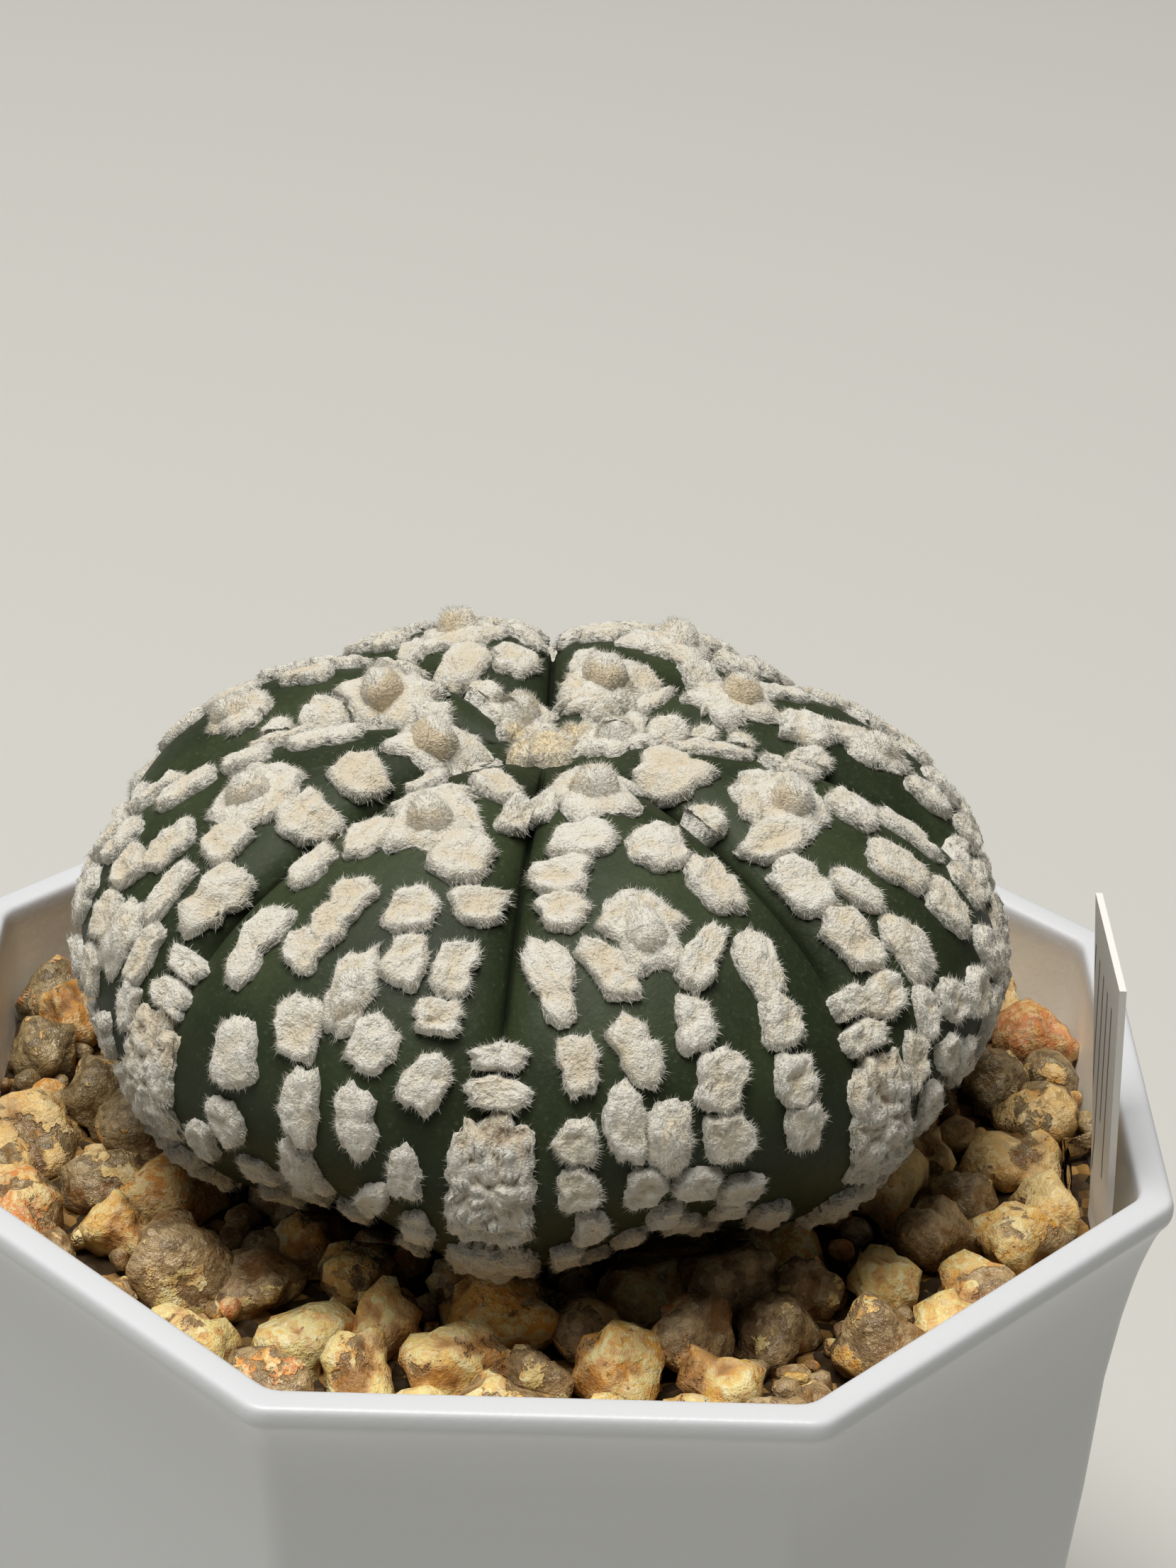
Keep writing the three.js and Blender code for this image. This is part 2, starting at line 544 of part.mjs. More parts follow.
// 0 in the middle of the fleck and 1 at its edge
function insideOf(fleck, arc, azimuth) {
  const [x, y] = toFleck(fleck, arc, azimuth);
  const fx = x / fleck.halfWidth;
  const fy = y / fleck.halfLength;
  if (Math.abs(fx) > 1.3 || Math.abs(fy) > 1.3) {
    return 9;
  }
  const power = SQUARENESS[fleck.kind];
  const m = (Math.abs(fx) ** power + Math.abs(fy) ** power) ** (1 / power);
  return m / edgeOf(fleck, Math.atan2(fy, fx));
}

function heightOf(fleck, m) {
  if (m >= 1) {
    return 0;
  }
  if (fleck.kind === 'tuft' || fleck.kind === 'wool') {
    return fleck.height * Math.sqrt(1 - m * m);
  }
  return fleck.height * (1 - smooth(0.8, 1, m)) + 0.15 * (1 - m * m);
}

function makeCactus() {
  const flecks = makeFlecks();
  const random = randomFrom(FLECK_SEED + 1);
  const chosen = [];
  const cells = new Map();
  const place = (arc, azimuth, lift, apart) => {
    if (arc < 0 || arc > FULL_ARC) {
      return;
    }
    const at = skinPoint(arc, azimuth);
    const key = at.clone().floor();
    for (let i = -1; i <= 1; i += 1) {
      for (let j = -1; j <= 1; j += 1) {
        for (let k = -1; k <= 1; k += 1) {
          const near = cells.get(`${key.x + i},${key.y + j},${key.z + k}`) || [];
          if (near.some((other) => other.distanceTo(at) < apart)) {
            return;
          }
        }
      }
    }
    const name = `${key.x},${key.y},${key.z}`;
    cells.set(name, [...(cells.get(name) || []), at]);
    chosen.push({ arc, azimuth, lift, at });
  };
  const liftAt = (arc, azimuth, skip) => {
    let lift = 0;
    flecks.forEach((fleck) => {
      if (fleck !== skip && Math.abs(fleck.arc - arc) < 8) {
        lift = Math.max(lift, heightOf(fleck, insideOf(fleck, arc, azimuth)));
      }
    });
    return lift;
  };
  const ring = (fleck, count, scale, turn, apart) => {
    for (let i = 0; i < count; i += 1) {
      const t = (i + turn) / count * 2 * Math.PI;
      const power = SQUARENESS[fleck.kind];
      const round = (Math.abs(Math.cos(t)) ** power + Math.abs(Math.sin(t)) ** power) ** (-1 / power);
      const reach = scale * edgeOf(fleck, t) * round;
      const x = fleck.halfWidth * Math.cos(t) * reach;
      const y = fleck.halfLength * Math.sin(t) * reach;
      const spot = fromFleck(fleck, x, y);
      if (scale > 0.95 && liftAt(spot.arc, spot.azimuth, fleck) > 0.05) {
        continue;
      }
      place(spot.arc, spot.azimuth, liftAt(spot.arc, spot.azimuth, null), apart);
    }
  };
  const order = ['wool', 'tuft', 'patch', 'pad', 'fleck'];
  order.forEach((kind) => {
    flecks.filter((fleck) => fleck.kind === kind).forEach((fleck) => {
      if (kind !== 'fleck' || fleck.halfLength > 2.2) {
        place(fleck.arc, fleck.azimuth, liftAt(fleck.arc, fleck.azimuth, null), 0.9);
      }
      if (kind === 'tuft' || kind === 'wool') {
        ring(fleck, 6, 0.5, 0, 0.5);
        ring(fleck, 8, 0.9, 0.5, 0.45);
      }
    });
  });
  flecks.filter((fleck) => fleck.kind === 'patch').forEach((fleck) => {
    for (let i = 0; i < 14; i += 1) {
      const x = (random() * 2 - 1) * 0.62 * fleck.halfWidth;
      const y = (random() * 2 - 1) * 0.68 * fleck.halfLength;
      const spot = fromFleck(fleck, x, y);
      place(spot.arc, spot.azimuth, fleck.height * (i % 2 ? 1.35 : 0.75), 0.9);
    }
    ring(fleck, 14, 0.74, 0, 0.5);
    ring(fleck, 14, 1.02, 0.5, 0.5);
  });
  ['pad', 'fleck'].forEach((kind) => {
    flecks.filter((fleck) => fleck.kind === kind).forEach((fleck) => ring(fleck, 8, 0.8, 0, 0.5));
  });
  ['pad', 'fleck'].forEach((kind) => {
    flecks.filter((fleck) => fleck.kind === kind).forEach((fleck) => ring(fleck, 8, 1.04, 0, 0.4));
  });
  // Creases between the ribs
  GROOVES.forEach((groove) => {
    for (let arc = 4; arc < 37; arc += 1.5) {
      [0, -0.6, 0.6].forEach((side) => {
        const azimuth = groove + side / radiusAt(arc) / DEG;
        place(arc, azimuth, liftAt(arc, azimuth, null), side === 0 ? 0.5 : 0.55);
      });
    }
  });
  // Bare skin between the flecks, down to the root
  for (let arc = 3; arc < ROOT_ARC; arc += 2.4) {
    const count = Math.max(Math.round(radiusAt(arc) * 2 * Math.PI / 2.6), 6);
    for (let i = 0; i < count; i += 1) {
      const azimuth = (i + 0.5 * (Math.round(arc / 2.4) % 2) + 0.3 * random()) / count * 360;
      place(arc + 0.6 * random(), azimuth, liftAt(arc, azimuth, null) > 0 ? 0.01 : 0, 1.7);
    }
  }
  for (let arc = ROOT_ARC; arc < ROOT_ARC + ROOT_DEPTH + 0.1; arc += ROOT_DEPTH / 5) {
    for (let i = 0; i < 12; i += 1) {
      place(arc, 30 * i + 7, 0, 0.1);
    }
  }
  place(FULL_ARC, 0, 0, 0.1);

  // The points lie on a ball first, where the hull joins each one to its neighbours, then go to their places
  const onBall = chosen.map(({ arc, azimuth }) => {
    const polar = polarAt(arc);
    const angle = azimuth * DEG;
    return new THREE.Vector3(
      Math.sin(polar) * Math.sin(angle),
      -Math.sin(polar) * Math.cos(angle),
      Math.cos(polar),
    );
  });
  const numberOf = new Map(onBall.map((point, i) => [point, i]));
  const hull = new ConvexHull().setFromPoints(onBall);
  const triangles = hull.faces.map((face) => {
    const corners = [];
    let edge = face.edge;
    do {
      corners.push(numberOf.get(edge.head().point));
      edge = edge.next;
    } while (edge !== face.edge);
    return corners;
  });
  const points = chosen.map(({ arc, azimuth, lift, at }) => {
    if (lift === 0) {
      return at;
    }
    return at.clone().addScaledVector(skinNormal(arc, azimuth), lift);
  });
  return geometryOf(points, triangles);
}

// Room round the cactus: its smooth form with a given margin
function cactusRoom(margin) {
  const rings = [];
  const sides = 64;
  const level = (arc, extra) => {
    const ring = [];
    for (let i = 0; i < sides; i += 1) {
      const azimuth = i / sides * 360;
      const at = skinPoint(arc, azimuth);
      const flat = Math.hypot(at.x - BODY_X, at.y);
      const normal = skinNormal(arc, azimuth);
      const out = extra === 0 ? margin * Math.hypot(normal.x, normal.y) : margin;
      const scale = (flat + out) / Math.max(flat, 0.001);
      const z = extra === 0 ? at.z + margin * normal.z : at.z + extra;
      ring.push(new THREE.Vector3(BODY_X + (at.x - BODY_X) * scale, at.y * scale, z));
    }
    return ring;
  };
  for (let arc = 40; arc <= ROOT_ARC - 2; arc += 1.5) {
    rings.unshift(level(arc, 0));
  }
  return stackOfRings(rings);
}

// One stone: the hull of a few points on a lopsided ball
function stoneGeometry(random, size) {
  const points = [];
  const squash = [0.86 + 0.28 * random(), 0.74 + 0.24 * random(), 0.62 + 0.24 * random()];
  const angles = new THREE.Euler(0.7 * random(), 0.7 * random(), 6.283 * random());
  const turn = new THREE.Quaternion().setFromEuler(angles);
  for (let i = 0; i < STONE_SIDES; i += 1) {
    const z = 1 - 2 * (i + 0.5) / STONE_SIDES;
    const angle = i * 2.39996 + 0.9 * random();
    const flat = Math.sqrt(1 - z * z);
    const r = size / 2 * (0.84 + 0.26 * random());
    const point = new THREE.Vector3(flat * Math.cos(angle), flat * Math.sin(angle), z);
    point.multiply(new THREE.Vector3(...squash)).multiplyScalar(r);
    points.push(point.applyQuaternion(turn));
  }
  const numberOf = new Map(points.map((point, i) => [point, i]));
  const hull = new ConvexHull().setFromPoints(points);
  const triangles = hull.faces.map((face) => {
    const corners = [];
    let edge = face.edge;
    do {
      corners.push(numberOf.get(edge.head().point));
      edge = edge.next;
    } while (edge !== face.edge);
    return corners;
  });
  const used = [...new Set(triangles.flat())];
  const place = new Map(used.map((old, i) => [old, i]));
  return geometryOf(used.map((i) => points[i]), triangles.map((t) => t.map((i) => place.get(i))));
}

// The gravel is banked up from the plant's foot towards the walls
function bankAt(x, y) {
  return BANK_HEIGHT * smooth(14, 27, Math.hypot(x, y));
}

// Where the stones lie: a seeded, nudged grid, pressed in by the wall, clear of the plant's foot
function makeStonePlaces() {
  const random = randomFrom(STONE_SEED);
  const stones = [];
  const wall = wallApothem(8) - WALL - GAP;
  const rows = Math.ceil(wall / (STONE_PITCH * 0.866));
  for (let j = -rows; j <= rows; j += 1) {
    for (let i = -rows; i <= rows; i += 1) {
      const size = STONE_SIZE[0] + (STONE_SIZE[1] - STONE_SIZE[0]) * random();
      let x = (i + 0.5 * Math.abs(j % 2) + 0.4 * (random() - 0.5)) * STONE_PITCH;
      let y = (j * 0.866 + 0.4 * (random() - 0.5)) * STONE_PITCH;
      const rise = 2.8 * random() - 1.4;
      const edge = Math.max(Math.abs(x), Math.abs(y), (Math.abs(x) + Math.abs(y)) * Math.SQRT1_2);
      const press = Math.min((wall - 0.4 * size) / Math.max(edge, 1), 1);
      x *= press;
      y *= press;
      const apart = stones.every((other) => {
        return Math.hypot(other.x - x, other.y - y) > 0.29 * (other.size + size);
      });
      if (edge < wall + 2 && Math.hypot(x - BODY_X, y) > 16 + 0.2 * size && apart) {
        const z = Math.min(STONE_LEVEL + rise - 0.36 * size, BED_LEVEL - 0.6 + 0.34 * size);
        stones.push({ x, y, z: z + bankAt(x, y), size });
      }
    }
  }
  return stones;
}

function makeGravel() {
  const random = randomFrom(STONE_SEED + 1);
  const rows = [POT_HEIGHT - FLOOR - GAP, 34.7, 27.0, 16.7, 11.0, 8.8, 1.6];
  const inset = WALL + GAP;
  const column = rows.map((depth) => {
    return octagonRing(wallApothem(Math.max(depth, 6)) - inset, POT_HEIGHT - depth);
  });
  const filled = toSolid(stackOfRings(column));
  const bedRows = rows.filter((depth) => depth > POT_HEIGHT - BED_LEVEL);
  bedRows.push(POT_HEIGHT - BED_LEVEL);
  const bedRings = bedRows.map((depth) => octagonRing(wallApothem(depth) - inset, POT_HEIGHT - depth));
  const edge = bedRings.pop();
  [1, 0.8, 0.6, 0.35].forEach((share) => {
    bedRings.push(edge.map(({ x, y, z }) => {
      return new THREE.Vector3(x * share, y * share, z + bankAt(x * share, y * share));
    }));
  });
  let gravel = toSolid(stackOfRings(bedRings));
  makeStonePlaces().forEach(({ x, y, z, size }) => {
    const stone = stoneGeometry(random, size);
    stone.translate(x, y, z);
    gravel = gravel.add(toSolid(stone));
  });
  gravel = gravel.intersect(filled);
  gravel = gravel.subtract(toSolid(cactusRoom(FLECK_HEIGHT + GAP + 0.2)));
  const holeBottom = BODY_MIDDLE - BODY_BOTTOM - ROOT_DEPTH - GAP - 0.6;
  gravel = gravel.subtract(cylinder(ROOT_RADIUS + GAP + 0.1, holeBottom, POT_HEIGHT, BODY_X, 0));
  gravel = gravel.subtract(toSolid(labelSlot()));
  const bodies = gravel.decompose().sort((a, b) => b.volume() - a.volume());
  return fromSolid(bodies[0]);
}

// Label: a thin card that bows along the wall under the gravel, as x against height over the rim
const LABEL_LINE = [
  [39.76, 16.2], [40.18, 7.5], [40.6, -1], [40.72, -6], [40.5, -11.5], [40, -18], [39.7, -24],
];

function labelStrip(inside, outside, low) {
  const shape = new THREE.Shape();
  const line = LABEL_LINE.map(([x, z], i) => [x, i === LABEL_LINE.length - 1 ? z - low : z]);
  line.forEach(([x, z], i) => {
    if (i === 0) {
      shape.moveTo(x - inside, z);
    } else {
      shape.lineTo(x - inside, z);
    }
  });
  line.slice().reverse().forEach(([x, z]) => shape.lineTo(x + outside, z));
  shape.closePath();
  return shape;
}

function labelGeometry(inside, outside, width, low) {
  const geometry = new THREE.ExtrudeGeometry(labelStrip(inside, outside, low), {
    depth: width,
    bevelEnabled: false,
    steps: 1,
  });
  // The shape's second axis becomes Z and the extrusion runs along -Y
  geometry.rotateX(Math.PI / 2);
  geometry.translate(0, LABEL_Y + width / 2, POT_HEIGHT);
  // The far edge slants in towards the foot of the label
  const places = geometry.getAttribute('position');
  const top = POT_HEIGHT + LABEL_LINE[0][1];
  for (let i = 0; i < places.count; i += 1) {
    if (places.getY(i) > LABEL_Y) {
      places.setY(i, places.getY(i) - LABEL_TAPER * (top - places.getZ(i)));
    }
  }
  return geometry;
}

function makeLabel() {
  const half = LABEL_THICKNESS / 2;
  return labelGeometry(half, half, LABEL_WIDTH, 0);
}

function labelSlot() {
  return labelGeometry(LABEL_THICKNESS / 2 + GAP, 6, LABEL_WIDTH + 2 * GAP, GAP);
}

function plainMaterial(color, roughness) {
  return new THREE.MeshStandardMaterial({ color, roughness, metalness: 0 });
}

const part = new THREE.Group();
part.add(named('pot', makePot(), plainMaterial(0xe9e8e4, 0.42)));
part.add(named('gravel', makeGravel(), plainMaterial(0xb4935f, 0.7)));
part.add(named('cactus', makeCactus(), plainMaterial(0xb9b8a6, 0.85)));
part.add(named('label', makeLabel(), plainMaterial(0xefeeea, 0.5)));

export default part;
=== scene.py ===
import copy
import math

import bmesh
import bpy
import numpy as np
from bpy.props import FloatProperty, FloatVectorProperty, IntProperty, PointerProperty
from mathutils import Matrix, Vector, noise


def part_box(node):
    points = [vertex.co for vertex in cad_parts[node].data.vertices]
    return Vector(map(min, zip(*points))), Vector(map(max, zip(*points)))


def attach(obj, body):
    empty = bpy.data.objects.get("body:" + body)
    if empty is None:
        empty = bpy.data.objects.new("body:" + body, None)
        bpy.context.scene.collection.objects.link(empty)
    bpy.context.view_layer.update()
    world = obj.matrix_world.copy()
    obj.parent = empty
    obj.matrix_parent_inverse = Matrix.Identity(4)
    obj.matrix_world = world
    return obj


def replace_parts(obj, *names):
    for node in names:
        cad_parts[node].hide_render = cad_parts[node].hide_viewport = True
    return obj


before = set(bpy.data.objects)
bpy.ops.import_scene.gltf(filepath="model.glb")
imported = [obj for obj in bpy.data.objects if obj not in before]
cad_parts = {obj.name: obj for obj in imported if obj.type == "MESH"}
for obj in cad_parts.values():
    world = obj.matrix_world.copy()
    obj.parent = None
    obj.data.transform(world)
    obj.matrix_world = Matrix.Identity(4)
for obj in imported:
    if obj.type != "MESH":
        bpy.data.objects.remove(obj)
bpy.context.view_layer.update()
POT_LOW, POT_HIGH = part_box("pot")

bl_info = {
    "name": "Potted star cactus",
    "version": (1, 0, 0),
    "blender": (4, 5, 0),
    "location": "3D View > Sidebar > Cactus",
    "description": "Dresses the potted star cactus: skin, felt flecks, gravel, pot, label and studio",
    "category": "Object",
}

MM = 0.001
DEG = math.pi / 180

# Pot
POT_HEIGHT = round(POT_HIGH.z / MM, 3)
RIM_APOTHEM = round(POT_HIGH.x / MM, 3)
WALL = 1.1
FLOOR = 1.8
CORNER_RADIUS = 2.4
DRAIN_RADIUS = 3.5
DRAIN_RING = 21
DRAIN_COUNT = 4
GAP = 0.3

# Gravel
BED_LEVEL = POT_HEIGHT - 10.5
STONE_SEED = 4711
STONE_PITCH = 6.4
STONE_SIZE = (6, 10.2)
STONE_SIDES = 10
STONE_LEVEL = POT_HEIGHT - 6.2
BANK_HEIGHT = 3.2
CHIPS = 9
# Sharpness of a stone's edges, rise of a grid row in pitches, turn from one corner of a stone to the next,
# and the range of a drawn turn, as in the part
EDGE_POWER = 40
ROW_RISE = 0.866
TURN_STEP = 2.39996
FULL_TURN = 6.283

# Cactus body
BODY_X = -0.5
BODY_RADIUS = 33.6
BODY_MIDDLE = POT_HEIGHT + 9.8
BODY_TOP = 17.8
BODY_BOTTOM = 18.5
TOP_POWER = 2.15
BOTTOM_POWER = 1.8
CROWN_DIP = 2.6
CROWN_DIP_RADIUS = 7.4
RIBS = 8
GROOVES = (-5.3, 44, 90, 134, 179, 221, 262, 307)
RIB_SWELL = 1.6
CREASE_DEPTH = 1.2
CREASE_WIDTH = 0.8
LOBE_SWELL = 2.6
ROOT_RADIUS = 4.5
ROOT_DEPTH = 14

# Flecks of felt
FLECK_SEED = 88
FLECK_HEIGHT = 0.9
FLECK_SCALE = 0.92
TUFT_HEIGHT = 1.5
CROWN_ARC = 21.6
# Patches nearer to the crown than this come to a peak, and felt this close to a crease bridges it
UPPER_PATCH_ARC = 46
BRIDGE_REACH = 0.8

# Label
LABEL_BOX = [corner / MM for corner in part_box("label")]
# Stones keep clear of the label over this half width, at its side of the pot
LABEL_ROOM = 7.3
LABEL_SIDE = 30

# Camera as fitted to the photograph, its place in metres
CAMERA_PLACE = (-0.0031, -0.2421, 0.2325)
PITCH = 28.26 * DEG
YAW = 1.32 * DEG
ROLL = 2.32 * DEG
LENS = 87.4
SENSOR = 36

# Lights in metres: share of the main power, width, place and tint
LIGHTS = {
    "main_light": (1, 0.9, (-0.24, -0.1, 1.68), (1.0, 0.985, 0.96)),
    "side_light": (0.012, 0.6, (-0.8, -0.2, 0.5), (0.95, 0.97, 1.0)),
}


def paint(red, green, blue):
    """Colour as seen on a screen, 0 to 255, as the linear light that Blender mixes."""
    shares = (red / 255, green / 255, blue / 255)
    return tuple(s / 12.92 if s < 0.04045 else ((s + 0.055) / 1.055) ** 2.4 for s in shares)


def colour(name, description, red, green, blue):
    return FloatVectorProperty(
        name=name,
        description=description,
        subtype="COLOR",
        size=3,
        min=0,
        max=1,
        default=paint(red, green, blue),
    )


def length(name, description, default):
    return FloatProperty(
        name=name,
        description=description,
        default=default,
        min=0,
        max=0.02,
        subtype="DISTANCE",
        unit="LENGTH",
        precision=5,
    )


def factor(name, description, default):
    return FloatProperty(name=name, description=description, default=default, min=0, subtype="FACTOR")


def number(name, description, default):
    return IntProperty(name=name, description=description, default=default, min=0)


class CactusLooks(bpy.types.PropertyGroup):
    """Sizes and colours of the plant."""

    skin_deep: colour("Deep skin", "Green of the skin low down and in the clefts", 38, 46, 26)
    skin_mid: colour("Skin", "Green of the skin on the ribs", 58, 67, 42)
    skin_speck: colour("Skin specks", "Fine pale specks in the skin", 92, 98, 74)
    # Painted shade: the dark of the crease lines, also used for the painted shade low on the flank
    crease: colour("Crease", "Bottom of the creases between the ribs", 18, 24, 8)
    felt_white: colour("Felt", "Raised parts of the felt flecks", 233, 229, 217)
    # Partly the felt's own cream and partly painted shade, laid deeper in the hollows and low lumps
    felt_cream: colour("Felt hollows", "Hollows in the felt flecks", 222, 208, 180)
    # Painted shade: the felt low on the flank is greyed towards this colour
    felt_pit_brown: colour("Felt pits", "Brown pits in the crumbled patches", 140, 112, 84)
    felt_low_shade: colour("Shaded low felt", "Greyer felt low on the flank", 186, 180, 166)
    # Partly the tufts' own tan wool and partly painted shade on their sides
    tuft_tan: colour("Tuft shade", "Worn sides of the areole tufts", 218, 200, 168)
    wool_yellow: colour("New wool", "Young wool in the dip of the crown", 240, 220, 176)
    spread: factor("Fleck spread", "Size of the loose flecks over their solids", 1.02)
    tuft_spread: factor("Tuft spread", "Size of the tufts over their solids", 1.3)
    lump: length("Felt lumps", "How far the felt heaves up and down", 0.00026)
    hair: length("Hair length", "Length of the felt hairs past a fleck's edge", 0.00047)
    hair_width: length("Hair width", "Width of a felt hair at its root", 0.000038)
    edge_hairs: number("Edge hairs", "Hairs round each fleck", 350)
    top_hairs: number("Top hairs", "Short hairs on each fleck", 80)


class GravelLooks(bpy.types.PropertyGroup):
    """Sizes and colours of the gravel."""

    ochre: colour("Ochre", "Weathered crust of most stones", 210, 160, 86)
    cream: colour("Cream", "Pale crust of some stones", 222, 190, 128)
    rust: colour("Rust", "Orange-red crust of a few stones", 206, 128, 76)
    gold: colour("Gold", "Iron stain on the crust", 196, 138, 50)
    quartz: colour("Quartz", "Grey-brown glassy parts", 112, 93, 64)
    bed: colour("Bed", "Dark fines between the stones", 58, 42, 20)
    # Painted shade: the darker brown laid in the stones' clefts
    cleft: colour("Cleft", "Deep clefts of the stones", 118, 76, 30)
    spread: factor("Stone spread", "Size of the stones over their solids", 1.14)
    grain: length("Grain relief", "Height of the grains on a stone", 0.00052)
    grit_tries: number("Grit", "Places tried for small grit between the stones", 2600)


class PotLooks(bpy.types.PropertyGroup):
    """Sizes and colours of the pot and the label."""

    plastic: colour("Plastic", "White plastic of the pot", 216, 217, 219)
    inside: colour("Inside", "Plastic inside the pot, warm with the light through it", 244, 238, 222)
    dust: colour("Dust", "Specks and soil marks on the pot", 120, 104, 84)
    card: colour("Card", "White card of the label", 238, 236, 230)
    line: colour("Ruled line", "Plain ruled lines on the label", 96, 82, 78)
    burr: length("Burr", "Moulding flash along the rim's lower edge", 0.00016)
    line_pitch: length("Line pitch", "Space between the ruled lines", 0.0022)


class StageLooks(bpy.types.PropertyGroup):
    """Floor, light and camera."""

    floor: colour("Floor", "Plain pale floor", 205, 204, 197)
    sky: colour("Fill light", "Soft light from all round", 214, 222, 232)
    sky_strength: factor("Fill strength", "Strength of the soft light", 0.06)
    key_power: FloatProperty(
        name="Main light",
        description="Power of the large light",
        default=33.5,
        min=0,
        unit="POWER",
    )


class Draw:
    """Seeded random source, the same as the part's."""

    def __init__(self, seed):
        self.state = seed & 0xFFFFFFFF

    def __call__(self):
        self.state = (self.state + 0x6D2B79F5) & 0xFFFFFFFF
        t = ((self.state ^ (self.state >> 15)) * (self.state | 1)) & 0xFFFFFFFF
        t = (t ^ (t + (((t ^ (t >> 7)) * (t | 61)) & 0xFFFFFFFF))) & 0xFFFFFFFF
        return (t ^ (t >> 14)) / 4294967296

    def spread(self, count, low=0.0, high=1.0):
        return np.array([low + (high - low) * self() for _ in range(count)])


def smooth(a, b, x):
    t = np.clip((x - a) / (b - a), 0, 1)
    return t * t * (3 - 2 * t)


def wrap(angle):
    return (angle + 180) % 360 - 180


def unit(vectors, least=1e-9):
    """Vectors at length 1, with next to no length left as it is."""
    return vectors / np.maximum(np.linalg.norm(vectors, axis=-1, keepdims=True), least)


def lumps(points, scale, seed=0.0):
    """Soft heaving, -1 to 1, at points in mm."""
    moved = np.asarray(points) * scale + seed
    return np.array([noise.noise(Vector(p)) for p in moved.tolist()])


def cells(points, scale, seed=0.0):
    """Distance to the nearest grain, 0 to about 1, at points in mm."""
    moved = np.asarray(points) * scale + seed
    return np.array([noise.voronoi(Vector(p))[0][0] for p in moved.tolist()])


def outline(theta):
    """Radius and height of the body at an angle from its top, and how far the crown dips there, in mm."""
    s = np.sin(theta)
    c = np.cos(theta)
    power = np.where(c >= 0, TOP_POWER, BOTTOM_POWER)
    k = (np.abs(s) ** power + np.abs(c) ** power) ** (-1 / power)
    r = BODY_RADIUS * s * k
    dip = CROWN_DIP * np.exp(-((r / CROWN_DIP_RADIUS) ** 2))
    return r, np.where(c >= 0, BODY_TOP, BODY_BOTTOM) * c * k, dip


THETAS = np.linspace(0, math.pi, 3001)
OUTLINE_R, OUTLINE_Z, OUTLINE_DIP = outline(THETAS)
ARCS = np.concatenate([[0], np.cumsum(np.hypot(np.diff(OUTLINE_R), np.diff(OUTLINE_Z - OUTLINE_DIP)))])
ROOT_AT = int(np.nonzero((THETAS > math.pi / 2) & (OUTLINE_R > ROOT_RADIUS))[0][-1])
ROOT_ARC = float(ARCS[ROOT_AT])


# A place on the body is its arc from the crown in mm, and its azimuth in degrees from the front
def radius_at(arc):
    theta = np.interp(np.minimum(arc, ROOT_ARC), ARCS, THETAS)
    return np.maximum(outline(theta)[0], 0.05)


def rib_span(rib):
    """Middle and half width of a rib in degrees."""
    end = GROOVES[rib + 1] if rib + 1 < RIBS else GROOVES[0] + 360
    return (GROOVES[rib] + end) / 2, (end - GROOVES[rib]) / 2


GROOVE_STOPS = np.array([*GROOVES, GROOVES[0] + 360])


def from_groove(azimuth):
    """0 in a groove and 1 in the middle of a rib, and the degrees to the nearest groove."""
    turn = (np.asarray(azimuth, float) - GROOVES[0]) % 360 + GROOVES[0]
    rib = np.clip(np.searchsorted(GROOVE_STOPS, turn, side="right") - 1, 0, RIBS - 1)
    low, high = GROOVE_STOPS[rib], GROOVE_STOPS[rib + 1]
    degrees = np.minimum(turn - low, high - turn)
    return np.clip(degrees / ((high - low) / 2), 0, 1), degrees


def skin_point(arc, azimuth, creased=1.0):
    """Points of the skin. Felt that bridges a crease lies on the skin as it would be with no crease."""
    arc, azimuth = np.broadcast_arrays(np.asarray(arc, float), np.asarray(azimuth, float))
    angle = azimuth * DEG
    theta = np.interp(np.minimum(arc, ROOT_ARC), ARCS, THETAS)
    r, z, dip = outline(theta)
    degrees = theta / DEG
    u, off = from_groove(azimuth)
    upper = smooth(4, 22, degrees) * (1 - smooth(62, 100, degrees))
    rib = RIB_SWELL * upper * (0.34 - (1 - u) ** 2)
    across = off * DEG * np.maximum(r, 1)
    cut = smooth(3, 12, degrees) * (1 - smooth(92, 110, degrees))
    crease = -CREASE_DEPTH * creased * cut * np.exp(-((across / CREASE_WIDTH) ** 1.2))
    lower = smooth(80, 118, degrees) * (1 - smooth(146, 168, degrees))
    lobe = LOBE_SWELL * lower * (0.5 * np.cos(math.pi * u) - 0.05)
    push = rib + crease + lobe
    down = np.clip(arc - ROOT_ARC, 0, ROOT_DEPTH)
    out = (r + push * np.sin(theta)) * (1 - 0.25 * down / ROOT_DEPTH)
    up = z + push * np.cos(theta) - dip - down
    return np.stack([BODY_X + out * np.sin(angle), -out * np.cos(angle), BODY_MIDDLE + up], -1)


def skin_normal(arc, azimuth, creased=1.0):
    step = 0.25
    down = skin_point(arc + step, azimuth, creased) - skin_point(np.maximum(arc - step, 0), azimuth, creased)
    turn = step / radius_at(arc) / DEG
    side = skin_point(arc, azimuth + turn, creased) - skin_point(arc, azimuth - turn, creased)
    return unit(np.cross(down, side))


